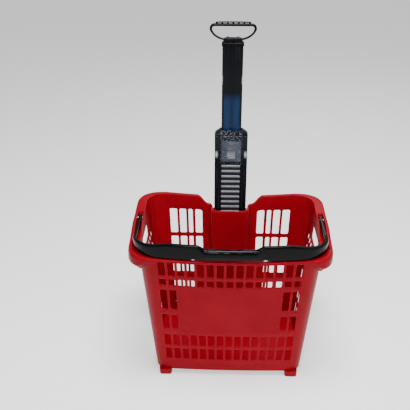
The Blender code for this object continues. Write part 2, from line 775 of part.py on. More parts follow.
def button_spring(material):
    """A leaf spring: its upper end lies on the stage's front wall, and its lower end bears on the button."""
    wall = CAVITY_Y[0] + GAP
    bear = CAVITY_Y[0] + 2.1
    top = BUTTON_Z + 34.0
    outline = [(wall, top), (wall, BUTTON_Z + 19.0), (bear, BUTTON_Z + 15.0), (bear, BUTTON_Z + 6.0)]
    outline += [(bear + 0.5, BUTTON_Z + 6.0), (bear + 0.5, BUTTON_Z + 15.3), (wall + 0.5, BUTTON_Z + 19.3)]
    outline.append((wall + 0.5, top))
    return place("button_spring", prism(outline, -5.0, 5.0, "X"), material)


def stage_glides(name, half, low, high, middle_y, depth, material):
    """Two slippery pads on a stage's sides, which keep it from rattling."""
    for side, word in ((-1, "left"), (1, "right")):
        ends = sorted((side * (half + GAP), side * (half + 1.1)))
        pad = box(ends, (middle_y - depth / 2, middle_y + depth / 2), (low, high))
        place(name + "_" + word, pad, material)


def inner_stage(material):
    """A fluted bar: a middle groove for the latch and two shallow flutes on each side of it."""
    points = [(INNER_HALF, INNER_BACK), (-INNER_HALF, INNER_BACK), (-INNER_HALF, INNER_FRONT)]
    grooves = [(-18.0, 2.5, 1.5), (-10.5, 2.5, 1.5), (0.0, 5.0, 5.5), (10.5, 2.5, 1.5), (18.0, 2.5, 1.5)]
    for middle, half, depth in grooves:
        points += [(middle - half, INNER_FRONT), (middle - half, INNER_FRONT + depth)]
        points += [(middle + half, INNER_FRONT + depth), (middle + half, INNER_FRONT)]
    points.append((INNER_HALF, INNER_FRONT))
    return place("inner_stage", prism(points, INNER_Z[0], INNER_Z[1]), material)


def inner_stop(material):
    """The block at the foot of the inner stage that meets the collar at full height."""
    outline = rounded(INNER_HALF, 5.8, 2.0, 2, (0.0, STOP_Y))
    return place("inner_stage_stop", prism(outline, INNER_Z[0] - 8.0, INNER_Z[0] - GAP), material)


# ---------------------------------------------------------------- grip


def grip_outline(inset):
    """Half the grip's D shape, mirrored: a straight top, round shoulders and arms that run to the neck."""
    half = GRIP_HALF - inset
    top = GRIP_TOP - 5.0 - (inset if inset == 0.0 else inset * 1.4)
    radius = 13.0 - inset * 0.5
    points = []
    for k in range(5):
        angle = radians(90.0 - 22.5 * k)
        points.append((half - radius + radius * cos(angle), top - radius + radius * sin(angle)))
    low = 850.5 - GRIP_NECK_Z
    for k in range(1, 6):
        t = k / 5
        x = mix(half, 24.0, smooth_step(t * 0.8) / smooth_step(0.8))
        z = mix(top - radius, GRIP_NECK_Z + (0.0 if inset == 0.0 else low), t**0.8)
        points.append((x, z))
    return points + [(-x, z) for x, z in reversed(points)]


def grip_loop(material):
    body = ring(grip_outline(0.0), grip_outline(7.0), MAST_Y - 6.0, MAST_Y + 10.0, "Y")
    loop = place("grip_loop", body, material)
    neck = prism(rounded(24.0, 8.0, 3.0, 3, (0.0, MAST_Y + 3.5)), GRIP_NECK_Z, 851.0)
    boolean(loop, cutter("grip_neck", neck), "UNION")
    holes = bmesh.new()
    for side in (-1, 1):
        outline = circle(2.3, 10, (side * GRIP_SCREW_X, GRIP_SCREW_Z))
        add_prism(holes, outline, MAST_Y + 5.0, MAST_Y + 14.0, "Y")
    boolean(loop, cutter("grip_screw_holes", holes), "DIFFERENCE")
    return loop


def grip_cover(material):
    """The palm bar on the loop's top: a thin bar on posts, with a row of windows between them."""
    base = GRIP_TOP - 5.0 + GAP
    outline = rounded(PALM_HALF, 6.5, 3.0, 3, (0.0, MAST_Y + 2.0))
    cover = place("grip_palm_bar", prism(outline, base, GRIP_TOP), material)
    windows = bmesh.new()
    width = 84.0 / GRIP_WINDOWS
    for k in range(GRIP_WINDOWS):
        middle = (k - (GRIP_WINDOWS - 1) / 2) * width
        across = (MAST_Y - 10.0, MAST_Y + 14.0)
        add_box(windows, (middle - 5.0, middle + 5.0), across, (base - 1.0, base + 2.8))
    boolean(cover, cutter("palm_bar_windows", windows), "DIFFERENCE")
    return cover


def grip_screws(material):
    for side, word in ((-1, "left"), (1, "right")):
        where = (side * GRIP_SCREW_X, MAST_Y + 12.0, GRIP_SCREW_Z)
        screw("grip_screw_" + word, where, 3.6, 1.8, 6.5, material)


def neck_band(material):
    middle = (INNER_FRONT + INNER_BACK) / 2
    outer = rounded(INNER_HALF + 1.8, 11.3, 3.0, 3, (0.0, middle))
    inner = rounded(INNER_HALF + GAP, 9.5 + GAP, 0.6, 3, (0.0, middle))
    return place("neck_band", ring(outer, inner, NECK_BAND_Z[0], NECK_BAND_Z[1]), material)


# ---------------------------------------------------------------- rear wheels


def wheel_bracket(side, material):
    """A fork on the back wall: a slanted plate above the wheel, a guard over it and two cheeks."""
    name = "wheel_bracket_right" if side > 0 else "wheel_bracket_left"
    x = side * WHEEL_X
    low_wall = BACK_AT_FLOOR + BACK_DRAFT * (58.0 - FLOOR_Z) + 0.6
    high_wall = BACK_AT_FLOOR + BACK_DRAFT * (BRACKET_TOP - FLOOR_Z) + 0.6
    plate = [(low_wall, BRACKET_LOW), (high_wall, BRACKET_TOP), (high_wall + 3.5, BRACKET_TOP)]
    plate += [(low_wall + 7.0, BRACKET_GUARD), (BRACKET_BACK, BRACKET_GUARD), (BRACKET_BACK, BRACKET_LOW)]
    bracket = place(name, prism(plate, x - 17.5, x + 17.5, "X"), material)
    cheek = [(low_wall, 57.0), (high_wall, 95.0), (high_wall + 4.0, 95.0), (166.0, 58.0)]
    cheek += [(163.0, 22.0), (158.0, 17.0), (147.0, 17.0), (141.0, 24.0)]
    cheeks = bmesh.new()
    for low in (x - 16.5, x + 12.5):
        add_prism(cheeks, cheek, low, low + 4.0, "X")
    boolean(bracket, cutter(name + "_cheeks", cheeks), "UNION")
    bore = prism(circle(AXLE_R + GAP, 16, (WHEEL_Y, WHEEL_R)), x - 30.0, x + 30.0, "X")
    boolean(bracket, cutter(name + "_bore", bore), "DIFFERENCE")
    holes = bmesh.new()
    for px, pz in bracket_screw_places(side):
        add_prism(holes, circle(2.4, 10, (px, pz)), 120.0, 150.0, "Y")
    boolean(bracket, cutter(name + "_screw_holes", holes), "DIFFERENCE")
    return bracket


def bracket_screw_places(side):
    return [(side * WHEEL_X - 7.0, 80.0), (side * WHEEL_X + 7.0, 80.0)]


def bracket_screws(material):
    for side, word in ((-1, "left"), (1, "right")):
        for x, z in bracket_screw_places(side):
            end = "inner" if abs(x) < WHEEL_X else "outer"
            screw("bracket_screw_" + word + "_" + end, (x, 136.6, z), 4.0, 1.9, 5.6, material)


def wheel_parts(side, hub_material, tyre_material, steel, cap_material):
    word = "right" if side > 0 else "left"
    centre = (side * WHEEL_X, WHEEL_Y, WHEEL_R)
    bore = AXLE_R + 0.5
    hub = [(-11.5, bore), (-11.5, 8.0), (-5.0, 9.0), (-5.0, 17.5), (-9.0, 20.0), (-9.0, 21.7)]
    hub += [(9.0, 21.7), (9.0, 20.0), (5.0, 17.5), (5.0, 9.0), (11.5, 8.0), (11.5, bore)]
    tyre = [(-10.0, 22.0), (-10.0, 25.0), (-6.0, WHEEL_R), (6.0, WHEEL_R), (10.0, 25.0), (10.0, 22.0)]
    axle = [(-19.0, 0.9), (-19.0, AXLE_R), (19.0, AXLE_R), (19.0, 0.9)]
    pieces = [
        ("wheel_hub_" + word, hub, 32, hub_material),
        ("tyre_" + word, tyre, 32, tyre_material),
        ("axle_" + word, axle, 20, steel),
    ]
    for name, profile, count, material in pieces:
        bm = turned(profile, count)
        bmesh.ops.translate(bm, vec=centre, verts=bm.verts)
        place(name, bm, material, centre, smooth=True)
    for end, where in ((-side, "inner"), (side, "outer")):
        ends = sorted((end * 19.3, end * 21.5))
        cap = prism(circle(6.5, 16, centre[1:]), centre[0] + ends[0], centre[0] + ends[1], "X")
        place("axle_cap_" + word + "_" + where, cap, cap_material)


def main():
    clear_scene()
    red = plastic("red_polypropylene", (0.42, 0.012, 0.016), 0.38)
    black = plastic("black_polypropylene", (0.018, 0.018, 0.02), 0.42)
    glossy = plastic("glossy_black_abs", (0.014, 0.014, 0.018), 0.25)
    grey = plastic("grey_acetal", (0.45, 0.46, 0.48), 0.4)
    steel = plastic("zinc_plated_steel", (0.62, 0.62, 0.64), 0.32, 1.0)
    rubber = plastic("grey_rubber", (0.16, 0.16, 0.165), 0.75)
    basket_shell(red)
    channel_cover(black)
    cover_screws(steel)
    bail_handle(black)
    for side in (-1, 1):
        bail_pin(side, red)
        wheel_bracket(side, black)
        wheel_parts(side, grey, rubber, steel, black)
    bracket_screws(steel)
    mast_sleeve(black)
    sleeve_bezel(black)
    sleeve_end_cap(black)
    outer_stage(black)
    outer_collar(black)
    latch_plate(glossy)
    latch_button(glossy)
    button_spring(steel)
    stage_glides("outer_stage_glide", OUTER_HALF, 296.0, 330.0, MAST_Y, 16.0, grey)
    inner_stage(glossy)
    inner_stop(grey)
    stage_glides("inner_stage_glide", INNER_HALF, 552.0, 576.0, 157.5, 10.0, grey)
    grip_loop(black)
    grip_cover(black)
    grip_screws(steel)
    neck_band(grey)


main()
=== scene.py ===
import math

import bmesh
import bpy
import numpy as np
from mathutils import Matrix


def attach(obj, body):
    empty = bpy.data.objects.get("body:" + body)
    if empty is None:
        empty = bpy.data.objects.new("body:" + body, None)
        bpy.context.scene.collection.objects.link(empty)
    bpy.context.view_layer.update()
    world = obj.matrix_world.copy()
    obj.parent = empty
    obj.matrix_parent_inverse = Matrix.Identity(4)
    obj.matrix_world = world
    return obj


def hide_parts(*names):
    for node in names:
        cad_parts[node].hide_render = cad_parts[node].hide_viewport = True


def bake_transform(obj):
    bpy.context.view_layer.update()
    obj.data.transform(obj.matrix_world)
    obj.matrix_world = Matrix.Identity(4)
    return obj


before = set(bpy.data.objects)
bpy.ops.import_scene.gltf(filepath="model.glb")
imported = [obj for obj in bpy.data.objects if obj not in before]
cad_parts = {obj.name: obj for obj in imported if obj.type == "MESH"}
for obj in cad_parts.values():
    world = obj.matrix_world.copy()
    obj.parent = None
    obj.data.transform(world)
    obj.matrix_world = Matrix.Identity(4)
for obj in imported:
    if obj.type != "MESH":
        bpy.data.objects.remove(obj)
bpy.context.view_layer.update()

mm = 0.001
print("frame loaded:", len(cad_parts), "nodes")


# camera, floor and light

cameraSet = {"place": (-0.0194, -1.5257, 1.1899), "tilt": 26.0, "turn": 1.79, "roll": -0.02, "lens": 57.07}


def makeCamera():
    data = bpy.data.cameras.new("camera")
    data.lens = cameraSet["lens"]
    data.sensor_width = 36.0
    cameraObject = bpy.data.objects.new("camera", data)
    cameraObject.location = cameraSet["place"]
    turns = (90.0 - cameraSet["tilt"], cameraSet["roll"], cameraSet["turn"])
    cameraObject.rotation_euler = [math.radians(a) for a in turns]
    bpy.context.scene.collection.objects.link(cameraObject)
    bpy.context.scene.camera = cameraObject


def toLinear(hexColour):
    # sRGB to linear: below 0.04045 a straight line, above it a power of 2.4
    values = [int(hexColour[i:i + 2], 16) / 255 for i in (0, 2, 4)]
    linear = [v / 12.92 if v <= 0.04045 else ((v + 0.055) / 1.055) ** 2.4 for v in values]
    return (*linear, 1.0)


def addNode(tree, kind, settings=None, links=None):
    # settings are attributes, or sockets by name; links join an input to another node's output
    node = tree.nodes.new(kind)
    for key, value in (settings or {}).items():
        if key in node.inputs:
            node.inputs[key].default_value = value
        else:
            setattr(node, key, value)
    for key, source in (links or {}).items():
        tree.links.new(source, node.inputs[key])
    return node


def softLight(name, place, size, power):
    data = bpy.data.lights.new(name, "AREA")
    data.shape = "DISK"
    data.size = size
    data.energy = power
    light = bpy.data.objects.new(name, data)
    light.location = place
    away = np.array(place) - np.array((0.0, 0.0, 0.35))
    level = math.hypot(away[0], away[1])
    light.rotation_euler = (math.atan2(level, away[2]), 0.0, math.atan2(away[1], away[0]) + math.pi / 2)
    bpy.context.scene.collection.objects.link(light)


def makeStage():
    world = bpy.data.worlds.new("studio")
    world.use_nodes = True
    world.node_tree.nodes["Background"].inputs["Color"].default_value = toLinear("F4F5F7")
    world.node_tree.nodes["Background"].inputs["Strength"].default_value = 0.3
    bpy.context.scene.world = world
    mesh = bpy.data.meshes.new("studio_floor")
    half = 30.0
    corners = [(-half, -half, 0), (half, -half, 0), (half, half, 0), (-half, half, 0)]
    mesh.from_pydata(corners, [], [(0, 1, 2, 3)])
    floor = bpy.data.objects.new("studio_floor", mesh)
    bpy.context.scene.collection.objects.link(floor)
    material = bpy.data.materials.new("pale floor")
    material.use_nodes = True
    shader = material.node_tree.nodes["Principled BSDF"]
    shader.inputs["Base Color"].default_value = toLinear("F2F2F2")
    shader.inputs["Roughness"].default_value = 0.9
    shader.inputs["Emission Color"].default_value = toLinear("FFFFFF")
    shader.inputs["Emission Strength"].default_value = 0.6
    mesh.materials.append(material)
    softLight("key light", (-0.35, -2.2, 1.75), 0.6, 28.0)
    softLight("fill light", (1.9, -1.5, 1.5), 1.8, 18.0)
    softLight("top light", (0.05, -0.3, 2.1), 0.9, 62.0)
    softLight("back light", (0.5, 2.2, 2.2), 1.6, 16.0)


makeCamera()
makeStage()
print("camera and light ready")


# materials

def newMaterial(name, colour, roughness, settings):
    material = bpy.data.materials.new(name)
    material.use_nodes = True
    tree = material.node_tree
    shader = tree.nodes["Principled BSDF"]
    shader.inputs["Base Color"].default_value = toLinear(colour)
    shader.inputs["Roughness"].default_value = roughness
    for key, value in settings.items():
        shader.inputs[key].default_value = value
    place = addNode(tree, "ShaderNodeTexCoord").outputs["Object"]
    return material, tree, shader, place


def tintedBy(tree, factor, low, high):
    # a colour ramp between two sRGB colours
    ramp = addNode(tree, "ShaderNodeValToRGB", {}, {"Fac": factor})
    ramp.color_ramp.elements[0].position = 0.35
    ramp.color_ramp.elements[1].position = 0.65
    ramp.color_ramp.elements[0].color = toLinear(low)
    ramp.color_ramp.elements[1].color = toLinear(high)
    return ramp.outputs["Color"]


def spread(tree, factor, low, high):
    return addNode(tree, "ShaderNodeMapRange", {"To Min": low, "To Max": high}, {"Value": factor}).outputs[0]


def scratchesAndGlints(tree, place, stretch, scale):
    # thin scuffs, which on the latch plate and the button are painted glints: noise stretched along one
    # direction, kept only where it peaks
    turned = addNode(tree, "ShaderNodeMapping", {"Scale": stretch, "Rotation": (0.3, 0.2, 0.5)},
                     {"Vector": place})
    noise = addNode(tree, "ShaderNodeTexNoise", {"Scale": scale, "Detail": 3.0, "Roughness": 0.6},
                    {"Vector": turned.outputs["Vector"]})
    sharp = addNode(tree, "ShaderNodeMapRange", {"From Min": 0.62, "From Max": 0.72},
                    {"Value": noise.outputs["Fac"]})
    return sharp.outputs["Result"]


def moulded(name, colours, roughness, grain, depth, settings):
    # moulded plastic: slow flow marks in colour and gloss, a fine spark-eroded grain, and light scuffs; on
    # the latch plate and the button the flow tint is a painted reflection and the scuffs are painted glints
    material, tree, shader, place = newMaterial(name, colours[0], roughness[0], settings)
    flowAndSheen = addNode(tree, "ShaderNodeTexNoise", {"Scale": 9.0, "Detail": 4.0, "Roughness": 0.55},
                   {"Vector": place})
    tint = tintedBy(tree, flowAndSheen.outputs["Fac"], colours[0], colours[1])
    scuffsAndGlints = scratchesAndGlints(tree, place, (1.0, 1.0, 7.0), 60.0)
    wearAndGlints = addNode(tree, "ShaderNodeMix", {"data_type": "RGBA"}, {})
    wearAndGlints.inputs[0].default_value = 0.0
    tree.links.new(tint, wearAndGlints.inputs[6])
    wearAndGlints.inputs[7].default_value = toLinear(colours[2])
    faint = addNode(tree, "ShaderNodeMath", {"operation": "MULTIPLY"}, {})
    faint.inputs[1].default_value = 0.22
    tree.links.new(scuffsAndGlints, faint.inputs[0])
    tree.links.new(faint.outputs[0], wearAndGlints.inputs[0])
    tree.links.new(wearAndGlints.outputs[2], shader.inputs["Base Color"])
    gloss = spread(tree, flowAndSheen.outputs["Fac"], roughness[0], roughness[1])
    dull = addNode(tree, "ShaderNodeMath", {"operation": "MULTIPLY_ADD"}, {})
    dull.inputs[1].default_value = 0.18
    tree.links.new(scuffsAndGlints, dull.inputs[0])
    tree.links.new(gloss, dull.inputs[2])
    tree.links.new(dull.outputs[0], shader.inputs["Roughness"])
    fine = addNode(tree, "ShaderNodeTexNoise", {"Scale": 1.0 / (grain * mm), "Detail": 2.0},
                   {"Vector": place})
    bump = addNode(tree, "ShaderNodeBump", {"Strength": 0.35, "Distance": depth * mm},
                   {"Height": fine.outputs["Fac"]})
    tree.links.new(bump.outputs["Normal"], shader.inputs["Normal"])
    return material


# red moulded polypropylene: a satin skin with soft highlights; 0.9 mm grain is drawn coarser than real.
# the plastics' specular levels are well under a typical 0.5, so that the pale studio doesn't grey them
redPlastic = moulded("red moulded polypropylene", ("7A0112", "830415", "951622"), (0.30, 0.40), 0.9, 0.05,
                     {"IOR": 1.49, "Specular IOR Level": 0.06})
# black moulded polypropylene: near-black satin that greys where it is rubbed
blackPlastic = moulded("black moulded polypropylene", ("030304", "060607", "242426"), (0.26, 0.38), 0.8,
                       0.05, {"IOR": 1.49, "Specular IOR Level": 0.08})
# grey acetal: slippery, faintly waxy
greyAcetal = moulded("grey moulded acetal", ("8B8D90", "9A9C9F", "B5B6B8"), (0.32, 0.42), 0.8, 0.03,
                    {"IOR": 1.48})
# dark grey rubber: matt and dusty, with a coarse skin
greyRubber = moulded("dark grey moulded rubber", ("2B2B2C", "38383A", "5A5955"), (0.62, 0.78), 1.4, 0.12,
                     {"IOR": 1.52})
# zinc-plated steel: bright, slightly blue, with brushed glints
zincSteel = moulded("zinc-plated steel", ("A9ADB2", "BFC2C6", "8E8F90"), (0.24, 0.36), 0.5, 0.02,
                   {"Metallic": 1.0})


def bandMask(tree, place, axis, low, high, soft):
    # 1 between two heights (mm) along an axis of the object's own space, fading over a soft edge
    parts = addNode(tree, "ShaderNodeSeparateXYZ", {}, {"Vector": place})
    value = parts.outputs[axis]
    if axis == "X":
        value = addNode(tree, "ShaderNodeMath", {"operation": "ABSOLUTE"}, {0: value}).outputs[0]
    rise = addNode(tree, "ShaderNodeMapRange",
                   {"From Min": (low - soft) * mm, "From Max": (low + soft) * mm}, {"Value": value})
    fall = addNode(tree, "ShaderNodeMapRange",
                   {"From Min": (high + soft) * mm, "From Max": (high - soft) * mm}, {"Value": value})
    return product(tree, rise.outputs[0], fall.outputs[0])


def product(tree, *factors):
    result = factors[0]
    for factor in factors[1:]:
        links = {0: result, 1: factor}
        result = addNode(tree, "ShaderNodeMath", {"operation": "MULTIPLY"}, links).outputs[0]
    return result


def boxMask(tree, place, **bands):
    # the bands along each named axis, multiplied
    return product(tree, *[bandMask(tree, place, axis, *band) for axis, band in bands.items()])


def tintWhere(material, mask, colour):
    # lays another colour over what the base colour already has, where the mask is 1
    tree = material.node_tree
    socket = tree.nodes["Principled BSDF"].inputs["Base Color"]
    before = socket.links[0].from_socket
    layer = addNode(tree, "ShaderNodeMix", {"data_type": "RGBA"})
    tree.links.new(mask, layer.inputs[0])
    tree.links.new(before, layer.inputs[6])
    layer.inputs[7].default_value = toLinear(colour)
    tree.links.new(layer.outputs[2], socket)


def objectPlace(material):
    return addNode(material.node_tree, "ShaderNodeTexCoord").outputs["Object"]


# the outer stage: its ladder is tinted dark grey, its bar fronts carry a painted highlight in pale grey that
# is strongest where they face up, its latch housing carries painted reflections in spots, and a painted
# glint sits on both side rails at the collar's height
outerBlack = moulded("black moulded ABS with painted highlights and reflections", ("050609", "090B12", "232A38"), (0.16, 0.26), 1.2, 0.02,
                     {"IOR": 1.54, "Specular IOR Level": 0.12})
outerTree = outerBlack.node_tree
outerPlace = objectPlace(outerBlack)
ladderMask = boxMask(outerTree, outerPlace, X=(-5.0, 25.6, 0.6), Z=(295.0, 502.0, 1.0))
depthMask = bandMask(outerTree, outerPlace, "Y", 130.0, 138.75, 0.35)
upTilt = addNode(outerTree, "ShaderNodeSeparateXYZ", {},
                 {"Vector": addNode(outerTree, "ShaderNodeNewGeometry").outputs["Normal"]}).outputs["Z"]
shine = addNode(outerTree, "ShaderNodeMapRange", {"From Min": -0.25, "From Max": 0.5},
                {"Value": upTilt}).outputs[0]
tintWhere(outerBlack, ladderMask, "24262B")
# painted highlight: pale grey on the bar fronts, stronger where they face up, broken into patches by noise
highlightBreakup = addNode(outerTree, "ShaderNodeTexNoise", {"Scale": 110.0, "Detail": 3.0},
                 {"Vector": outerPlace}).outputs["Fac"]
shine = product(outerTree, shine, spread(outerTree, highlightBreakup, 0.25, 0.95))
tintWhere(outerBlack, product(outerTree, ladderMask, depthMask, shine), "B8BAC0")
# painted reflections: blue-grey spots over the latch housing
paintedReflectionSpots = addNode(outerTree, "ShaderNodeMapRange", {"From Min": 0.5, "From Max": 0.75},
                   {"Value": addNode(outerTree, "ShaderNodeTexNoise", {"Scale": 240.0, "Detail": 2.0},
                                     {"Vector": outerPlace}).outputs["Fac"]}).outputs[0]
housing = boxMask(outerTree, outerPlace, X=(-5.0, 30.0, 2.0), Z=(505.0, 600.0, 3.0), Y=(120.0, 150.0, 2.0))
tintWhere(outerBlack, product(outerTree, housing, paintedReflectionSpots), "565E6E")
glint = boxMask(outerTree, outerPlace, X=(37.0, 43.0, 2.5), Z=(526.0, 540.0, 5.0), Y=(130.0, 140.0, 1.0))
tintWhere(outerBlack, glint, "A9ABA4")

# the inner stage: blue-black, with a painted blue reflection in vertical streaks low on its front between
# the rails, and two pale edge marks
blackWithBlueReflection = moulded("blue-black anodised extrusion with painted blue reflection", ("040507", "080A0F", "1E2534"), (0.18, 0.28), 1.0,
                     0.015, {"IOR": 1.5, "Specular IOR Level": 0.12})
innerTree = blackWithBlueReflection.node_tree
innerPlace = objectPlace(blackWithBlueReflection)
frontOnly = (130.0, 154.0, 1.0)
blueReflectionMask = boxMask(innerTree, innerPlace, X=(-5.0, 21.0, 1.2), Z=(560.0, 690.0, 12.0), Y=frontOnly)
reflectionStreak = addNode(innerTree, "ShaderNodeTexNoise", {"Scale": 60.0, "Detail": 3.0},
                 {"Vector": addNode(innerTree, "ShaderNodeMapping", {"Scale": (3.0, 1.0, 0.12)},
                                    {"Vector": innerPlace}).outputs["Vector"]}).outputs["Fac"]
# painted reflection: streaked dark blue low on the front between the rails
tintWhere(blackWithBlueReflection, product(innerTree, blueReflectionMask, spread(innerTree, reflectionStreak, 0.25, 0.95)), "12315A")
marks = boxMask(innerTree, innerPlace, X=(25.0, 40.0, 0.4), Z=(727.0, 748.0, 2.0), Y=frontOnly)
tintWhere(blackWithBlueReflection, marks, "7C7C80")
print("materials ready")


# mesh helpers

def gridFaces(rows, columns, closeRows=False, closeColumns=False):
    # quads of a grid whose points are numbered row by row
    rowCount = rows if closeRows else rows - 1
    columnCount = columns if closeColumns else columns - 1
    r, c = np.meshgrid(np.arange(rowCount), np.arange(columnCount), indexing="ij")
    nextR = (r + 1) % rows
    nextC = (c + 1) % columns
    corners = [r * columns + c, r * columns + nextC, nextR * columns + nextC, nextR * columns + c]
    return np.stack(corners, axis=-1).reshape(-1, 4)


def solidPiece(name, points, faces, material, body, slotName, replaced=(), sharp=38.0, weld=1e-6):
    # points in millimetres; welds doubles, turns the faces outward and puts the piece in the scene
    mesh = bpy.data.meshes.new(name)
    mesh.from_pydata((np.asarray(points, float) * mm).tolist(), [], [list(map(int, f)) for f in faces])
    bm = bmesh.new()
    bm.from_mesh(mesh)
    bmesh.ops.remove_doubles(bm, verts=bm.verts, dist=weld)
    bmesh.ops.dissolve_degenerate(bm, edges=bm.edges, dist=weld)
    bmesh.ops.recalc_face_normals(bm, faces=bm.faces[:])
    openEdges = sum(1 for e in bm.edges if len(e.link_faces) != 2)
    bm.to_mesh(mesh)
    bm.free()
    mesh.shade_smooth()
    mesh.set_sharp_from_angle(angle=math.radians(sharp))
    piece = bpy.data.objects.new(name, mesh)
    mesh.materials.append(material)
    bpy.context.scene.collection.objects.link(piece)
    if body:
        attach(piece, body)
    if replaced:
        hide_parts(*replaced)
    print("  %s: %d faces, %d open edges" % (name, len(mesh.polygons), openEdges))
    return piece


def blendStep(t):
    t = np.clip(t, 0.0, 1.0)
    return t * t * (3.0 - 2.0 * t)


def mixed(a, b, t):
    return a + (b - a) * t


def roundedPath(points, radii, steps):
    # points: array (columns, count, 2) of an open path; each inner corner becomes a parabola-shaped round
    count = points.shape[1]
    out = [points[:, 0]]
    for i in range(1, count - 1):
        before = points[:, i - 1] - points[:, i]
        after = points[:, i + 1] - points[:, i]
        lengthBefore = np.maximum(np.linalg.norm(before, axis=1), 1e-6)
        lengthAfter = np.maximum(np.linalg.norm(after, axis=1), 1e-6)
        reach = np.minimum(np.minimum(radii[i], 0.46 * lengthBefore), 0.46 * lengthAfter)
        start = points[:, i] + before * (reach / lengthBefore)[:, None]
        end = points[:, i] + after * (reach / lengthAfter)[:, None]
        for s in np.linspace(0.0, 1.0, steps + 1):
            out.append((1 - s) ** 2 * start + 2 * s * (1 - s) * points[:, i] + s * s * end)
    out.append(points[:, -1])
    return np.stack(out, axis=1)


# basket shell

basket = {
    "floor": 17.0, "wall": 3.0,
    "halfAtFloor": 194.5, "sideDraft": 0.107,
    "frontAtFloor": 140.0, "frontDraft": 0.080,
    "backAtFloor": 122.5, "backDraft": 0.120,
    "cornerAtRim": 52.0, "cornerAtFloor": 30.0, "bowAtRim": 12.0, "bowAtFloor": 4.0, "flatAtRim": 181.0,
    "rimFront": 376.0, "rimSide": 396.0, "wing": 400.0, "wingInner": 394.0, "dip": 368.0,
    "channelTop": 360.0,
    "lipSide": 25.5, "lipFront": 9.0, "lipBack": 10.5,
    "skirtSide": 54.0, "skirtFront": 12.0, "skirtBack": 26.0, "grooveEnd": 0.71,
    "slotPitch": 24.4, "slotWidth": 17.5, "slotRound": 3.0, "edgeRound": 0.7,
    "channelHalf": 51.0, "channelFront": 133.0, "channelRound": 7.0,
    "panelHalf": 126.0, "panelLow": 149.0, "panelHigh": 286.0, "panelDepth": 0.8,
}
rowsFront = np.array([17.0, 52.0, 96.0, 149.0, 211.5, 288.5, 319.5, 370.0])
rowsBack = np.array([17.0, 52.0, 96.0, 149.0, 211.5, 275.5, 319.5, 358.0])
cellSteps = np.array([0.0, 0.09, 0.2, 0.5, 0.8, 0.91, 1.0])


def planAt(z):
    # the walls lean out evenly from the floor, and their corners and front bow grow with them
    rise = z - basket["floor"]
    share = rise / (basket["rimSide"] - basket["floor"])
    half = basket["halfAtFloor"] + basket["sideDraft"] * rise
    front = -(basket["frontAtFloor"] + basket["frontDraft"] * rise)
    back = basket["backAtFloor"] + basket["backDraft"] * rise
    corner = mixed(basket["cornerAtFloor"], basket["cornerAtRim"], share)
    bow = mixed(basket["bowAtFloor"], basket["bowAtRim"], share)
    return half, front, back, corner, bow


def wallAt(kind, t, mirror, z):
    # point and outward direction on the right half (mirror 1) or left half (mirror -1) of the outer face:
    # a parabola at the front, arcs at the corners, straight sides and back, and a folded channel
    half, front, back, corner, bow = planAt(z)
    flat = half - corner
    slope = np.arctan2(2 * bow, flat)
    bend = corner / (1.0 - np.sin(slope))
    tilt = np.arctan2(2 * bow * t, flat)
    middleY = front + bow + bend * np.cos(slope)
    first = mixed(slope - np.pi / 2, 0.0, t)
    second = t * np.pi / 2
    # the fold: t runs 0 to 1 over the outer edge, the channel's side, the inner edge and its front plate
    depth = np.maximum(back - basket["channelFront"], 0.9)
    turn = np.minimum(basket["channelRound"], depth * 0.45)
    edge = basket["channelHalf"]
    a = np.clip(t / 0.3, 0.0, 1.0) * np.pi / 2
    b = np.clip((t - 0.5) / 0.3, 0.0, 1.0) * np.pi / 2
    across = np.clip((t - 0.8) / 0.2, 0.0, 1.0)
    outer = t <= 0.4
    innerX = (edge - turn + turn * np.cos(b)) * (1.0 - across)
    foldX = np.where(outer, edge + turn - turn * np.sin(a), innerX)
    foldY = np.where(outer, back - turn + turn * np.cos(a), back - depth + turn - turn * np.sin(b))
    which = [kind == number for number in range(6)]
    x = np.select(which, [flat * t, half - bend + bend * np.cos(first), half + 0.0 * t,
                          flat + corner * np.cos(second), flat * t, foldX])
    y = np.select(which, [front + bow * t * t, middleY + bend * np.sin(first),
                          mixed(middleY, back - corner, t), back - corner + corner * np.sin(second),
                          back + 0.0 * t, foldY])
    nx = np.select(which, [np.sin(tilt), np.cos(first), 1.0, np.cos(second), 0.0,
                           np.where(outer, -np.sin(a), -np.cos(b))])
    ny = np.select(which, [-np.cos(tilt), np.sin(first), 0.0, np.sin(second), 1.0,
                           np.where(outer, np.cos(a), np.sin(b))])
    return x * mirror, y, nx * mirror, ny


def rimHeights(kind, t):
    # heights of the rim's inner and outer ridges: low at the front, high wings, and a dip at the mast
    rise = mixed(basket["rimSide"], basket["wing"], blendStep((t - 0.6) / 0.4))
    front = basket["rimFront"]
    inner = np.where(kind == 2, mixed(front, rise, blendStep((t - 0.15) / 0.40)), front)
    outer = np.where(kind == 2, mixed(front + 1.0, rise, blendStep((t + 0.15) / 0.60)), front)
    outer = np.where(kind == 1, front + blendStep(t) * 2.3, outer)
    x = np.abs(t) * basket["flatAtRim"]
    wing = mixed(basket["wingInner"], basket["wing"], np.clip((x - 92.0) / 89.0, 0.0, 1.0))
    dip = mixed(basket["dip"], wing, blendStep((x - 62.0) / 30.0))
    plate = mixed(basket["dip"], basket["channelTop"], blendStep((t - 0.5) / 0.4))
    for number, value in ((3, basket["wing"]), (4, dip), (5, plate)):
        inner = np.where(kind == number, value, inner)
        outer = np.where(kind == number, value, outer)
    return inner, outer


def rimFloor(kind, t):
    grooved = (kind == 2) & (t < basket["grooveEnd"])
    return np.where(grooved, basket["rimFront"] - 1.0, rimHeights(kind, t)[0])


def levelAt(kind, t, z):
    # above 325 mm the wall's levels follow the rim's height
    stretch = (rimFloor(kind, t) - 325.0) / (basket["rimFront"] - 325.0)
    return np.where(z > 325.0, 325.0 + (z - 325.0) * stretch, z)


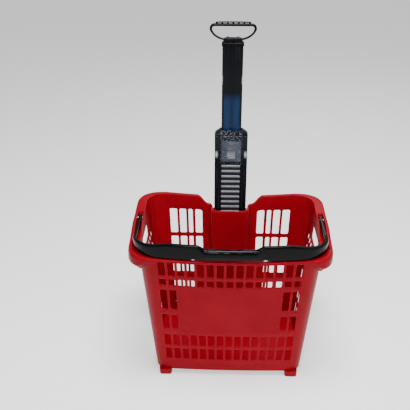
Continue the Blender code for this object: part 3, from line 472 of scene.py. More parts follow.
def shellPoint(kind, t, mirror, z, depth):
    # a point inside the wall's thickness: depth 0 is the outer face and 1 the inner face
    height = levelAt(kind, t, z)
    height = np.maximum(height, basket["floor"] + basket["wall"] * depth)
    x, y, nx, ny = wallAt(kind, t, mirror, height)
    lowered = (kind == 0) & (height > basket["panelLow"]) & (height < basket["panelHigh"])
    inPanel = lowered & (np.abs(x) < basket["panelHalf"])
    sink = np.where(inPanel, basket["panelDepth"], 0.0) * (1.0 - depth)
    drop = basket["wall"] * depth + sink
    return np.stack([x - drop * nx, y - drop * ny, height + 0.0 * x], axis=-1)


def shellColumns():
    # cell edges around the right half, from the front's middle to the back's middle, as (kind, t)
    pitch = basket["slotPitch"] / basket["flatAtRim"]
    front = [-pitch / 2] + [(k + 0.5) * pitch for k in range(7)] + [1.0]
    back = [x / basket["flatAtRim"] for x in (181.0, 177.5, 149.5, 123.5, 104.0, 76.0, 58.0)]
    stretches = [(0, front), (1, [0.0, 0.33, 0.66, 1.0]), (2, [k / 8 for k in range(9)]),
                 (3, [0.0, 0.33, 0.66, 1.0]), (4, back)]
    return stretches


def slotRect(kind, low, high, rowLow):
    # the open rectangle of the cell between two column edges above a row edge, or None
    middle = (low + high) / 2
    flat = basket["flatAtRim"]
    spans = {52.0: (55.0, 91.0), 96.0: (101.0, 137.0), 149.0: (157.0, 202.0), 211.5: (221.0, 281.0),
             288.5: (296.0, 314.0), 319.5: (325.5, 365.5)}
    if kind == 0:
        pitch = basket["slotPitch"] / flat
        number = round(middle / pitch) if middle < 6.9 * pitch else 7
        if rowLow in (149.0, 211.5) and number < 6:
            return None
        if rowLow not in spans:
            return None
        half = basket["slotWidth"] / 2 / flat
        return number * pitch - half, number * pitch + half, *spans[rowLow]
    if kind == 2:
        if rowLow == 319.5 or rowLow not in spans:
            return None
        width = high - low
        return low + 0.14 * width, high - 0.14 * width, *spans[rowLow]
    if kind == 4:
        for a, b in ((80.0, 100.0), (108.0, 120.0), (127.0, 146.0), (153.0, 174.0)):
            if a < middle * flat < b:
                if rowLow == 275.5:
                    return a / flat, b / flat, 281.0, 345.5
                if rowLow == 211.5:
                    return a / flat, b / flat, 221.0, 270.0
                if rowLow in (52.0, 96.0, 149.0) and a > 100.0:
                    return a / flat, b / flat, *spans[rowLow]
    return None


def ringOfSlot(rect, stepsX, stepsZ, roundT, roundZ, grow):
    # points round a rounded rectangle, one for each lattice point of its cell's edge
    t0, t1, z0, z1 = rect
    growT = grow * roundT / roundZ
    t0, t1, z0, z1 = t0 - growT, t1 + growT, z0 - grow, z1 + grow

    def along(count):
        # share of the straight run, and arc angle, at each point of one side
        place = np.linspace(0.0, 1.0, count - 3)
        run = np.concatenate([[0.0, 0.0], place, [1.0, 1.0]])
        arc = np.zeros(count + 1)
        arc[:2] = [45.0, 22.5]
        arc[-2:] = [22.5, 45.0]
        return run, np.radians(arc)

    runX, arcX = along(stepsX)
    runZ, arcZ = along(stepsZ)
    low = mixed(t0 + roundT, t1 - roundT, runX)
    sign = np.where(np.arange(stepsX + 1) < stepsX / 2, -1.0, 1.0)
    bottomT = low + sign * roundT * np.sin(arcX)
    bottomZ = z0 + roundZ - roundZ * np.cos(arcX)
    up = mixed(z0 + roundZ, z1 - roundZ, runZ)
    signZ = np.where(np.arange(stepsZ + 1) < stepsZ / 2, -1.0, 1.0)
    rightZ = up + signZ * roundZ * np.sin(arcZ)
    rightT = t1 - roundT + roundT * np.cos(arcZ)
    t = np.concatenate([bottomT[:-1], rightT[:-1], bottomT[::-1][:-1], (t0 + t1 - rightT)[::-1][:-1]])
    z = np.concatenate([bottomZ[:-1], rightZ[:-1], (z0 + z1 - bottomZ)[::-1][:-1], rightZ[::-1][:-1]])
    return t, z


def latticeBetween(edges):
    # every lattice coordinate between a list of cell edges, six steps to a cell
    parts = [mixed(a, b, cellSteps[:-1]) for a, b in zip(edges[:-1], edges[1:])]
    return np.concatenate(parts + [[edges[-1]]])


def cellPatch(kind, ends, cells, rows, span, rect, mirror, add, roundMm):
    # one cell of the wall: a plain double skin, or a frame with a rounded opening through it
    t0, t1 = ends
    r0, r1 = span
    stepsX = 6 * cells
    stepsZ = 6 * (r1 - r0)
    u = latticeBetween(np.linspace(t0, t1, cells + 1))
    v = latticeBetween(np.arange(r0, r1 + 1))
    heights0 = np.interp(v, np.arange(8), rows[0])
    heights1 = np.interp(v, np.arange(8), rows[1])
    share = (u - t0) / (t1 - t0)
    gridT, gridV = np.meshgrid(u, np.arange(len(v)), indexing="ij")
    gridZ = mixed(heights0[gridV], heights1[gridV], share[:, None])
    if rect is None:
        for depth in (0.0, 1.0):
            points = shellPoint(kind, gridT, mirror, gridZ, depth)
            add(points.reshape(-1, 3), gridFaces(len(u), len(v)))
        return
    edgeT = np.concatenate([gridT[:-1, 0], gridT[-1, :-1], gridT[::-1, -1][:-1], gridT[0, ::-1][:-1]])
    edgeZ = np.concatenate([gridZ[:-1, 0], gridZ[-1, :-1], gridZ[::-1, -1][:-1], gridZ[0, ::-1][:-1]])
    tPerMm = (1 / 222.0 if kind == 2 else 1 / basket["flatAtRim"]) * (1 if t1 > t0 else -1)
    if t1 < t0:
        rect = (rect[1], rect[0], rect[2], rect[3])
    edge = basket["edgeRound"]
    wall = basket["wall"]
    rings = [(edgeT, edgeZ, 0.0)]
    lipped = [(edge, 0.0), (edge * 0.3, edge * 0.3 / wall), (0.0, edge / wall)]
    for grow, depth in lipped + [(grow, 1 - depth) for grow, depth in lipped[::-1]]:
        t, z = ringOfSlot(rect, stepsX, stepsZ, roundMm * tPerMm, roundMm, grow)
        rings.append((t, z, depth))
    rings.append((edgeT, edgeZ, 1.0))
    points = np.stack([shellPoint(kind, t, mirror, z, np.full_like(t, d)) for t, z, d in rings])
    add(points.reshape(-1, 3), gridFaces(len(rings), len(edgeT), closeColumns=True))


def rimSection(kind, t):
    # the rim's section as in the frame: underside, skirt, lip, ridge, handle groove, inner ridge
    inner, top = rimHeights(kind, t)
    floor = rimFloor(kind, t)
    corners = [np.sin(t * np.pi / 2), 1.0, np.cos(t * np.pi / 2)]
    turn = np.select([kind == 1, kind == 2, kind == 3], corners, 0.0)
    rear = kind >= 3
    share = blendStep(turn)
    lip = mixed(np.where(rear, basket["lipBack"], basket["lipFront"]), basket["lipSide"], share)
    skirt = mixed(np.where(rear, basket["skirtBack"], basket["skirtFront"]), basket["skirtSide"],
                  blendStep(turn * 1.3 - 0.3))
    fold = kind == 5
    lip = np.where(fold, mixed(basket["lipBack"], 1.3, blendStep(t / 0.12)), lip)
    skirt = np.where(fold, mixed(basket["skirtBack"], 8.5, blendStep(t / 0.12)), skirt)
    k = lip / basket["lipSide"]
    wall = np.minimum(basket["wall"], lip * 0.45)
    lipDrop = np.minimum(30.0, skirt - 5.0)
    hang = np.where(kind == 1, blendStep((t - 0.75) / 0.25), np.where(kind == 0, 0.0, 1.0))
    shift = mixed(0.9 * lip, mixed(6.0, 11.0, share) * k, hang)
    line = [
        (0.0 * k, floor - basket["wall"] - 2.0), (17.5 * k, floor - wall - 1.0), (18.0 * k, top - wall),
        (lip - wall, top - wall - 1.5), (lip - wall, top - lipDrop + 1.0),
        (lip - wall - shift, top - lipDrop - 2.0), (lip - wall - shift, top - skirt),
        (lip - shift, top - skirt), (lip - shift, top - lipDrop - 1.0),
        (lip, top - lipDrop + 2.0), (lip, top - 6.0 * k - 1.0), (lip - 3.0 * k, top), (15.0 * k, top),
        (14.5 * k, floor), (1.5 * k, floor), (1.0 * k, inner), (-basket["wall"] + 0.0 * k, inner),
    ]
    radii = [0.0, 2.0, 1.5, 1.5, 1.5, 1.5, 1.2, 1.2, 2.5, 2.5, 4.0, 3.0, 1.3, 2.0, 2.0, 1.3, 1.5]
    path = np.stack([np.stack([a + 0.0 * k, b], axis=-1) for a, b in line], axis=1)
    start = np.where(rear, topRow(kind, t), rowsFront[-1])
    low = np.stack([0.0 * k, levelAt(kind, t, start)], axis=-1)
    innerLow = low - np.array([basket["wall"], 0.0])
    path = np.concatenate([low[:, None], path, innerLow[:, None]], axis=1)
    return roundedPath(path, [0.0] + radii + [0.0], 3)


def topRow(kind, t):
    # nominal height of the wall's last row edge: it eases from the front's value to the back's in the corner
    share = np.select([kind < 3, kind == 3], [0.0, t], 1.0)
    return mixed(rowsFront[-1], rowsBack[-1], share)


def makeShell():
    parts = []
    total = [0]
    outlines = []

    def add(points, faces):
        parts.append((points, np.asarray(faces, int) + total[0]))
        total[0] += len(points)

    foldEdges = latticeBetween([0.0, 0.3, 0.5, 0.8, 1.0])[1:]
    rowLines = latticeBetween(np.arange(8))
    for mirror in (1.0, -1.0):
        rimKind = []
        rimT = []
        for kind, edges in shellColumns():
            if mirror < 0 and kind == 0:
                edges = edges[1:]
            for a, b in zip(edges[:-1], edges[1:]):
                rimKind.append(np.full(6, kind))
                rimT.append(latticeBetween([a, b])[:-1])
                corner = {3: (a, b), 4: (1.0, 1.0)}.get(kind, (0.0, 0.0))
                rows = [mixed(rowsFront, rowsBack, share) for share in corner]
                row = 0
                while row < 7:
                    if kind == 2 and row == 6 and 0.2 < a < 0.7:
                        if a < 0.3:
                            hole = (0.262, 0.738, 326.5, 362.0)
                            cellPatch(kind, (0.25, 0.75), 4, rows, (6, 7), hole, mirror, add, 9.0)
                        row += 1
                        continue
                    rect = slotRect(kind, min(a, b), max(a, b), float(rows[0][row]))
                    high = row + 2 if kind == 4 and row == 5 else row + 1
                    if kind == 4 and row == 5 and rect is None:
                        high = row + 1
                    cellPatch(kind, (a, b), 1, rows, (row, high), rect, mirror, add, basket["slotRound"])
                    row = high
        # the mast channel folds inward from the back wall's last column
        heights = np.interp(rowLines, np.arange(8), rowsBack)
        edgeT = 58.0 / basket["flatAtRim"]
        gridT, gridZ = np.meshgrid(foldEdges, heights, indexing="ij")
        for depth in (0.0, 1.0):
            start = shellPoint(4, np.full((1, len(heights)), edgeT), mirror, heights[None], depth)
            folded = shellPoint(5, gridT, mirror, gridZ, depth)
            add(np.concatenate([start, folded]).reshape(-1, 3), gridFaces(len(foldEdges) + 1, len(heights)))
        # the rim runs along every column from the front's middle to the channel's middle
        kinds = np.concatenate(rimKind + [[4], np.full(len(foldEdges), 5)])
        places = np.concatenate(rimT + [[edgeT], foldEdges])
        section = rimSection(kinds, places)
        ridge = rimHeights(kinds, places)[0]
        x, y, nx, ny = wallAt(kinds, places, mirror, ridge)
        out = section[..., 0]
        rimX = x[:, None] + out * nx[:, None]
        rimY = y[:, None] + out * ny[:, None]
        rim = np.stack([rimX, rimY, section[..., 1]], axis=-1)
        top = topRow(kinds, places)
        rim[:, 0] = shellPoint(kinds, places, mirror, top, 0.0)
        rim[:, -1] = shellPoint(kinds, places, mirror, top, 1.0)
        add(rim.reshape(-1, 3), gridFaces(rim.shape[0], rim.shape[1]))
        outlines.append((kinds, places, mirror))
    # the floor: one face below and one above, inside the walls' lowest rows
    for depth in (0.0, 1.0):
        rings = [shellPoint(k, t, m, np.full(len(t), basket["floor"]), depth) for k, t, m in outlines]
        add(np.concatenate([rings[0], rings[1][::-1]]), [])
        parts[-1] = (parts[-1][0], [list(range(total[0] - len(parts[-1][0]), total[0]))])
    points = np.concatenate([p for p, f in parts])
    faces = [list(map(int, f)) for p, group in parts for f in group]
    return points, faces


def roundedOutline(hx, hy, radius, steps):
    # counter-clockwise points of a rectangle with round corners
    angles = np.radians(np.linspace(0.0, 90.0, steps + 1))
    out = []
    for k, (sx, sy) in enumerate(((1, 1), (-1, 1), (-1, -1), (1, -1))):
        a = angles + k * np.pi / 2
        x = sx * (hx - radius) + radius * np.cos(a)
        out.append(np.column_stack([x, sy * (hy - radius) + radius * np.sin(a)]))
    return np.concatenate(out)


def ringAt(z, halfX, halfY, radius, steps, centre):
    # a rounded rectangle's outline lying flat at a height
    outline = roundedOutline(halfX, halfY, radius, steps) + np.array(centre)
    return np.column_stack([outline, np.full(len(outline), z)])


class Build:
    # collects grids and closed tubes into one list of points and faces
    def __init__(self):
        self.points = []
        self.faces = []
        self.count = 0

    def grid(self, points, closeRows=False, closeColumns=True, capStart=False, capEnd=False):
        rows, columns = points.shape[:2]
        faces = gridFaces(rows, columns, closeRows, closeColumns) + self.count
        self.faces += faces.tolist()
        if capStart:
            self.faces.append(list(range(self.count, self.count + columns)))
        if capEnd:
            start = self.count + (rows - 1) * columns
            self.faces.append(list(range(start, start + columns)))
        self.points.append(points.reshape(-1, 3))
        self.count += rows * columns
        return self

    def solid(self, rings):
        return self.grid(rings, capStart=True, capEnd=True)

    def turned(self, profile, centre, count=64):
        # a profile of (x, radius) turned about the X axis through the centre and closed on itself
        a = np.linspace(0.0, 2 * np.pi, count, endpoint=False)
        p = np.asarray(profile, float)
        x = np.repeat(p[:, 0][None], count, axis=0)
        y = np.cos(a)[:, None] * p[:, 1][None]
        z = np.sin(a)[:, None] * p[:, 1][None]
        return self.grid(np.stack([x, y, z], axis=-1) + np.array(centre), closeRows=True, closeColumns=True)

    def finish(self, *settings, **more):
        return solidPiece(settings[0], np.concatenate(self.points), self.faces, *settings[1:], **more)


shellPoints, shellFaces = makeShell()
solidPiece("basketShell", shellPoints, shellFaces, redPlastic, "basket", "red_pp",
           replaced=("basket_shell",), sharp=50.0, weld=2e-6)

# feet and the channel's fins, part of the same moulding

foot = {"x": 169.0, "y": -126.0, "halfX": 16.4, "halfY": 15.4, "round": 6.0,
        "flare": ((-2.5, 0.0), (-0.8, 0.7), (0.0, 2.5), (0.6, 18.5))}
fin = {"sides": ((51.0, 0.6), (51.6, 0.0), (53.6, 0.0), (54.2, 0.6)), "back": 173.7, "sunk": 2.0,
       "heights": (40.0, 104.0, 180.0, 270.0, 359.0)}
bead = {"half": 52.0, "front": 132.6, "sweep": 24.0, "low": 360.5, "rise": 8.0, "radius": 2.4, "lines": 14}
feet = Build()
finZ = np.array(fin["heights"])
finFront = basket["backAtFloor"] + basket["backDraft"] * (finZ - basket["floor"]) - fin["sunk"]
for side in (-1, 1):
    feet.solid(np.stack([
        ringAt(z, foot["halfX"] + grow, foot["halfY"] + grow, foot["round"] + grow, 4,
               (side * foot["x"], foot["y"])) for grow, z in foot["flare"]]))
    rings = []
    for x, inset in fin["sides"]:
        finX = np.full(len(finZ), side * x)
        front = np.column_stack([finX, finFront, finZ])
        back = np.column_stack([finX, np.full(len(finZ), fin["back"] - inset), finZ])
        rings.append(np.concatenate([front, back[::-1]]))
    feet.solid(np.stack(rings))
# a rolled bead follows the channel's mouth round the foot of the mast
beadAngle = np.linspace(0, 2 * np.pi, bead["lines"], endpoint=False)
beadT = np.linspace(-1.0, 1.0, 61)
beadX = bead["half"] * np.sign(beadT) * (1 - (1 - np.abs(beadT)) ** 1.6)
beadY = bead["front"] + bead["sweep"] * np.clip((np.abs(beadT) - 0.55) / 0.45, 0, 1) ** 2
beadZ = bead["low"] + bead["rise"] * blendStep((np.abs(beadT) - 0.45) / 0.5)
feet.solid(np.stack([
    beadX[:, None] + 0.0 * beadAngle, beadY[:, None] + bead["radius"] * np.cos(beadAngle),
    beadZ[:, None] + bead["radius"] * np.sin(beadAngle)], axis=-1))
feet.finish("basketFeet", redPlastic, "basket", "red_pp")
print("basket shell done")


# folding carry handle

bail = {"pivotY": 34.0, "pivotZ": 388.2, "armX": 242.5, "frontY": -169.5, "bow": 14.0, "bendR": 76.0,
        "lines": 33, "bowReach": 183.0, "armThick": 4.5, "strapThick": 6.0, "armLow": 380.0,
        "strapLow": 377.6, "armTop": 396.4, "strapTop": 418.0,
        "gripThick": 10.5, "gripLow": 380.5, "gripTop": 409.0,
        "ridgePitch": 6.0,
        "eye": [(-4.5, 3.6), (-4.5, 7.7), (-4.0, 8.2), (4.0, 8.2), (4.5, 7.7), (4.5, 3.6)]}


def bailFront(x):
    return bail["frontY"] + bail["bow"] * (x / bail["bowReach"]) ** 2


def bailPath():
    # straight arms, quarter-round bends and a slightly bowed front, as x, y and heading
    angle = math.atan2(2 * bail["bow"] * 170.0, bail["bowReach"] ** 2)
    startX = bail["armX"] - bail["bendR"] * (1.0 - math.sin(angle))
    bendY = bailFront(startX) + bail["bendR"] * math.cos(angle)
    armY = np.linspace(bail["pivotY"] + 6.0, bendY, 24)[:-1]
    arm = np.column_stack([np.full(23, bail["armX"]), armY, np.full(23, np.pi / 2)])
    heading = np.linspace(np.pi / 2, angle, 30)
    bend = np.column_stack([bail["armX"] - bail["bendR"] * (1 - np.sin(heading)),
                            bendY - bail["bendR"] * np.cos(heading), heading])
    x = np.concatenate([np.arange(156.0, 112.0, -4.0), np.arange(112.0, 56.0, -1.5),
                        np.arange(55.0, 0.0, -5.0)])
    front = np.column_stack([x, bailFront(x), np.arctan2(2 * bail["bow"] * x, bail["bowReach"] ** 2)])
    right = np.concatenate([arm, bend, front, [[0.0, bail["frontY"], 0.0]]])
    left = right[:-1] * np.array([-1.0, 1.0, -1.0])
    return np.concatenate([left, right[::-1]])


# the handle is polished where hands hold it
handleBlack = moulded("polished black polypropylene", ("030304", "060607", "202022"), (0.12, 0.20), 1.6,
                      0.02, {"IOR": 1.49, "Specular IOR Level": 0.1})


def makeBail():
    path = bailPath()
    x, y, heading = path.T
    rise = blendStep((-y - 60.0) / 85.0)
    thick = mixed(bail["armThick"], bail["strapThick"], rise)
    bottom = mixed(bail["armLow"], bail["strapLow"], rise)
    swell = rise * (0.5 + 0.5 * blendStep((228.0 - np.abs(x)) / 90.0))
    top = mixed(bail["armTop"], bail["strapTop"], swell)
    front = y < -100.0
    grip = np.where(front, 1.0 - blendStep((np.abs(x) - 60.0) / 24.0), 0.0)
    lowGrip = np.where(front, 1.0 - blendStep((np.abs(x) - 84.0) / 24.0), 0.0)
    thick = mixed(thick, bail["gripThick"], grip)
    bottom = mixed(bottom, bail["gripLow"], lowGrip)
    top = mixed(top, bail["gripTop"], grip)
    # superellipse section: nearly square on the strap, round on the grip
    a = np.linspace(0, 2 * np.pi, bail["lines"], endpoint=False)
    power = mixed(5.0, 2.4, grip)[:, None]
    c, s = np.cos(a)[None], np.sin(a)[None]
    out = np.sign(c) * np.abs(c) ** (2 / power) * thick[:, None]
    up = np.sign(s) * np.abs(s) ** (2 / power) * ((top - bottom) / 2)[:, None]
    # shallow finger ridges run round the grip: a cosine that only cuts inward
    wave = 1.0 - np.cos(x * 2 * np.pi / bail["ridgePitch"])[:, None]
    ridge = 1.0 - 0.02 * grip[:, None] * wave
    px = x[:, None] + out * ridge * np.sin(heading)[:, None]
    py = y[:, None] - out * ridge * np.cos(heading)[:, None]
    pz = ((top + bottom) / 2)[:, None] + up * ridge
    build = Build()
    build.solid(np.stack([px, py, pz], axis=-1))
    for side in (-1, 1):
        build.turned(bail["eye"], (side * bail["armX"], bail["pivotY"], bail["pivotZ"]), 40)
    build.finish("carryHandle", handleBlack, "carry_handle", "black_pp",
                 replaced=("bail_handle",), sharp=50.0)


makeBail()
print("carry handle done")


# outer stage: a tube with a ribbed ladder, side rails and a collar

outerStage = {"half": 45.0, "front": 138.0, "back": 170.0, "low": 290.0, "high": 586.0,
              "cavityHalf": 28.6, "cavityFront": 143.0, "cavityBack": 168.2,
              "ladderHalf": 27.0, "ribTop": 497.0, "ribPitch": 15.5, "ribHeight": 7.0, "recess": 2.2}


def tubeSection(half, front, back, radius, columns, steps=5):
    # an outline that starts at the left end of the front face: given front columns, then round corners
    turn = np.radians(np.linspace(0.0, 90.0, steps + 1))
    frontLine = np.column_stack([columns, np.full(len(columns), front)])
    out = [frontLine]
    for cx, cy, start in ((half - radius, front + radius, -90.0), (half - radius, back - radius, 0.0),
                          (-half + radius, back - radius, 90.0), (-half + radius, front + radius, 180.0)):
        a = turn + math.radians(start)
        arc = np.column_stack([cx + radius * np.cos(a), cy + radius * np.sin(a)])
        out.append(arc[1:] if start == -90.0 else arc)
    line = np.concatenate(out)
    return line[:-1] if np.allclose(line[-1], line[0]) else line


def outerRelief(x, z):
    # how far the front face sinks: rounded bars between the ladder's recesses, grooves beside the rails
    o = outerStage
    phase = np.abs((o["ribTop"] - z + o["ribPitch"] / 2) % o["ribPitch"] - o["ribPitch"] / 2)
    inLadder = (z < o["ribTop"] + 8.0) & (z > o["low"] + 3.0)
    sideFall = blendStep((o["ladderHalf"] - np.abs(x)) / 1.6)
    gap = blendStep((phase - o["ribHeight"] / 2 + 0.9) / 2.2)
    roundBar = 0.35 * np.clip(phase / (o["ribHeight"] / 2), 0, 1) ** 2
    ladder = sideFall * np.where(inLadder, np.maximum(gap * o["recess"], roundBar), 0.0)
    plate = blendStep((27.3 - np.abs(x)) / 0.4) * blendStep((z - 510.7) / 0.4)
    plate = plate * blendStep((571.3 - z) / 0.4)
    window = blendStep((12.9 - np.abs(x)) / 0.3) * blendStep((12.9 - np.abs(z - 530.0)) / 0.3)
    rail = 0.9 * np.exp(-((np.abs(x) - 33.0) / 0.9) ** 2) * blendStep((z - 294.0) / 4.0)
    return np.maximum.reduce([ladder, plate * 2.3, window * 4.6, rail])


def makeOuterStage():
    o = outerStage
    edge = o["half"] - 4.0
    inner = np.concatenate([
        np.linspace(-edge, -34.6, 4), [-34.0, -33.4, -33.0, -32.6, -32.0, -29.0, -27.4, -27.1, -26.6],
        [-26.0, -25.2, -22.0, -17.0, -13.1, -12.7, -12.3, -6.0]])
    columns = np.concatenate([inner, [0.0], -inner[::-1]])
    bars = o["ribTop"] - o["ribPitch"] * np.arange(14)[:, None]
    marks = np.array([-7.75, -5.0, -4.4, -3.8, -3.2, -2.6, -1.6, 0.0, 1.6, 2.6, 3.2, 3.8, 4.4, 5.0])
    rows = (bars + marks[None]).ravel()
    rows = np.concatenate([rows, [510.7, 511.1, 517.1, 517.4, 542.6, 542.9, 556.0, 570.9, 571.3, 578.0]])
    rows = np.unique(np.round(rows[(rows > o["low"] + 1.0) & (rows < o["high"] - 1.5)], 3))
    rows = np.concatenate([[o["low"], o["low"] + 0.8], rows, [o["high"] - 0.8, o["high"]]])
    section = tubeSection(o["half"], o["front"], o["back"], 4.0, columns)
    gridZ = np.repeat(rows[:, None], len(section), axis=1)
    points = np.concatenate([np.repeat(section[None], len(rows), axis=0), gridZ[..., None]], axis=-1)
    points[:, :len(columns), 1] += outerRelief(points[:, :len(columns), 0], points[:, :len(columns), 2])
    middle = np.array([0.0, 154.0])
    for end in (0, -1):
        points[end, :, :2] = middle + (points[end, :, :2] - middle) * np.array([0.983, 0.955])
    cavityColumns = np.linspace(-27.1, 27.1, len(columns))
    cavity = tubeSection(o["cavityHalf"], o["cavityFront"], o["cavityBack"], 1.5, cavityColumns)
    depths = (rows[-1], rows[-1] - 6.0, rows[0])
    inside = [np.column_stack([cavity, np.full(len(cavity), z)]) for z in depths]
    return Build().grid(np.concatenate([points, np.stack(inside)]), closeRows=True)


makeOuterStage().finish("outerStage", outerBlack, "outer_stage", "gloss_black",
                        replaced=("outer_stage",))
collar = {"y": 154.0, "round": 4.0, "boreY": 157.5, "boreHalf": (27.7, 10.2), "boreRound": 1.6,
          "bore": ((601.0, 0.4), (600.4, 0.0), (586.4, 0.0)),
          "line": [(586.4, 44.6, 15.6, 0.0), (587.0, 45.0, 16.0, 0.0), (589.6, 45.0, 16.0, 0.0),
                   (590.4, 44.6, 15.7, 0.0), (594.0, 40.0, 14.6, 0.9), (597.6, 35.2, 13.5, 1.5),
                   (600.2, 31.6, 12.8, 2.0), (601.0, 30.8, 12.4, 2.0)]}


def makeCollar():
    # straight skirt, a round shoulder, then the wiper's lip round the inner stage
    c = collar
    rings = [ringAt(z, hx, hy, c["round"], 6, (0.0, c["y"] + back)) for z, hx, hy, back in c["line"]]
    boreX, boreY = c["boreHalf"]
    rings += [ringAt(z, boreX + grow, boreY + grow, c["boreRound"], 6, (0.0, c["boreY"]))
              for z, grow in c["bore"]]
    Build().grid(np.stack(rings), closeRows=True).finish(
        "outerCollar", outerBlack, "outer_stage", "gloss_black", replaced=("outer_stage_collar",))


makeCollar()


latch = {"half": 26.9, "low": 511.0, "high": 571.0, "front": 138.3, "back": 140.0, "holeHalf": 12.4,
         "toothX": 20.0, "toothPitch": 5.0, "toothLow": 546.0, "toothHigh": 569.0, "toothDepth": 1.1,
         "bossX": 7.5, "bossZ": 559.0}
button = {"half": 11.9, "z": 530.0, "front": 138.35, "back": 143.5, "lines": 41, "flange": 14.4,
          "flangeY": (143.4, 144.8), "stem": 3.0, "stemY": ((144.6, 1.0), (150.0, 1.0), (150.5, 0.8))}
spring = {"half": 5.0, "thick": 0.5, "high": 564.0, "low": 536.0, "front": 143.3, "step": 1.8,
          "stepZ": 549.0, "stepRun": 4.0, "rows": 29}


def makeLatch():
    # the toothed plate: a relief of fine teeth at both sides, and two round bosses
    p = latch
    x = np.unique(np.concatenate([np.linspace(-26.6, 26.6, 77), [-12.6, 12.6, -p["half"], p["half"]]]))
    z = np.unique(np.concatenate([np.linspace(511.3, 570.7, 110), [p["low"], p["high"]]]))
    gx, gz = np.meshgrid(x, z, indexing="ij")
    teeth = np.abs((gz - p["toothLow"]) % p["toothPitch"] - 2.5) < 1.25
    sideTeeth = (np.abs(np.abs(gx) - p["toothX"]) < 5.2) & (gz > p["toothLow"]) & (gz < p["toothHigh"])
    boss = np.hypot(np.abs(gx) - p["bossX"], gz - p["bossZ"])
    sink = np.where(sideTeeth & teeth, p["toothDepth"], 0.0)
    sink = np.where(boss < 4.6, 0.9 * np.clip((4.6 - boss) / 0.8, 0, 1), sink)
    sink = np.where(boss < 2.6, 0.9 - 0.7 * np.clip((2.6 - boss) / 0.7, 0, 1), sink)
    border = np.minimum(p["half"] - np.abs(gx), np.minimum(gz - p["low"], p["high"] - gz))
    sink = np.maximum(sink, 0.5 * np.clip(1.0 - border / 0.6, 0, 1))
    hole = (np.abs(gx) < p["holeHalf"]) & (np.abs(gz - button["z"]) < p["holeHalf"])
    keep = ~(hole[:-1, :-1] & hole[1:, :-1] & hole[:-1, 1:] & hole[1:, 1:])
    front = np.stack([gx, p["front"] + sink, gz], axis=-1)
    back = np.stack([gx, np.full_like(gx, p["back"]), gz], axis=-1)
    count = gx.size
    faces = gridFaces(*gx.shape)[keep.ravel()]
    # walls close every border edge between the front and back skins
    pairs = np.concatenate([faces[:, [a, (a + 1) % 4]] for a in range(4)])
    keys = np.sort(pairs, axis=1)
    _, index, number = np.unique(keys, axis=0, return_inverse=True, return_counts=True)
    rim = pairs[number[index.ravel()] == 1]
    walls = np.column_stack([rim[:, 0], rim[:, 1], rim[:, 1] + count, rim[:, 0] + count])
    allFaces = np.concatenate([faces, faces[:, ::-1] + count, walls])
    used = np.unique(allFaces)
    order = np.full(2 * count, -1)
    order[used] = np.arange(len(used))
    points = np.concatenate([front.reshape(-1, 3), back.reshape(-1, 3)])[used]
    solidPiece("latchPlate", points, order[allFaces].tolist(), plateWithPaintedReflections, "outer_stage", "gloss_black",
               replaced=("latch_plate",), sharp=40.0)


def makeButton():
    # a cushion-shaped key with three finger grooves, on a flange and a round stem
    k = button
    lines = k["lines"]
    a = np.linspace(-1.0, 1.0, lines)
    gx, gz = np.meshgrid(a * k["half"], a * k["half"], indexing="ij")
    edge = np.clip((np.maximum(np.abs(gx), np.abs(gz)) - 10.7) / 1.2, 0, 1)
    groove = (np.abs(gx) < 9.0) * np.clip(1.6 - np.abs((gz + 9.0) % 6.0 - 3.0), 0, 1) * (np.abs(gz) < 8.0)
    front = np.stack([gx, k["front"] + 0.7 * edge ** 2 + groove, gz + k["z"]], axis=-1)
    back = np.stack([gx, np.full_like(gx, k["back"]), gz + k["z"]], axis=-1)
    last = lines - 1
    ring = np.concatenate([np.arange(lines), lines * np.arange(1, lines) + last,
                           lines * last + last - 1 - np.arange(last), lines * np.arange(last - 1, 0, -1)])
    count = gx.size
    walls = np.column_stack([ring, np.roll(ring, -1), np.roll(ring, -1) + count, ring + count])
    skin = gridFaces(lines, lines)
    build = Build()
    build.points.append(np.concatenate([front.reshape(-1, 3), back.reshape(-1, 3)]))
    build.faces += np.concatenate([skin, skin[:, ::-1] + count, walls]).tolist()
    build.count = 2 * count
    flange = roundedOutline(k["flange"], k["flange"], 1.5, 3)
    build.solid(np.stack([np.column_stack([flange[:, 0], np.full(len(flange), y), flange[:, 1] + k["z"]])
                          for y in k["flangeY"]]))
    stem = roundedOutline(k["stem"], k["stem"], 2.99, 5)
    build.solid(np.stack([np.column_stack([stem[:, 0] * w, np.full(len(stem), y), stem[:, 1] * w + k["z"]])
                          for y, w in k["stemY"]]))
    build.finish("latchButton", buttonPlastic, "latch_button", "gloss_black", replaced=("latch_button",))


# the latch plate is black; its blue-grey mottle and silver flecks are painted reflections
plateWithPaintedReflections = moulded("black latch plate with painted reflections", ("12151B", "434A58", "D6DAE2"), (0.16, 0.34), 2.6, 0.3,
                    {"IOR": 1.52, "Metallic": 0.35})
# the button is black; its grey mottle and silver flecks are painted glints
buttonPlastic = moulded("polished black button with painted glints", ("101216", "5A5F6C", "D8DBE0"), (0.12, 0.22), 1.4, 0.04,
                        {"IOR": 1.5, "Coat Weight": 0.4})
makeLatch()
makeButton()


def makeSpring():
    # a leaf, flat on the stage's wall at its top, then stepping back to bear on the button's flange
    z = np.linspace(spring["high"], spring["low"], spring["rows"])
    y = spring["front"] + spring["step"] * blendStep((spring["stepZ"] - z) / spring["stepRun"])
    half, thick = spring["half"], spring["thick"]
    corners = [(-half, 0.0), (half, 0.0), (half, thick), (-half, thick)]
    rings = [np.column_stack([np.full(len(z), a), y + b, z]) for a, b in corners]
    piece = Build().solid(np.stack(rings, axis=1)).finish(
        "buttonSpring", zincSteel, None, "zinc_steel", replaced=("button_spring",))
    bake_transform(piece)


makeSpring()
print("outer stage done")


# inner stage: a fluted bar with a deep latch groove, dark rails at its edges and end marks

innerStage = {"half": 27.0, "front": 148.0, "back": 167.0, "low": 545.0, "high": 837.0}


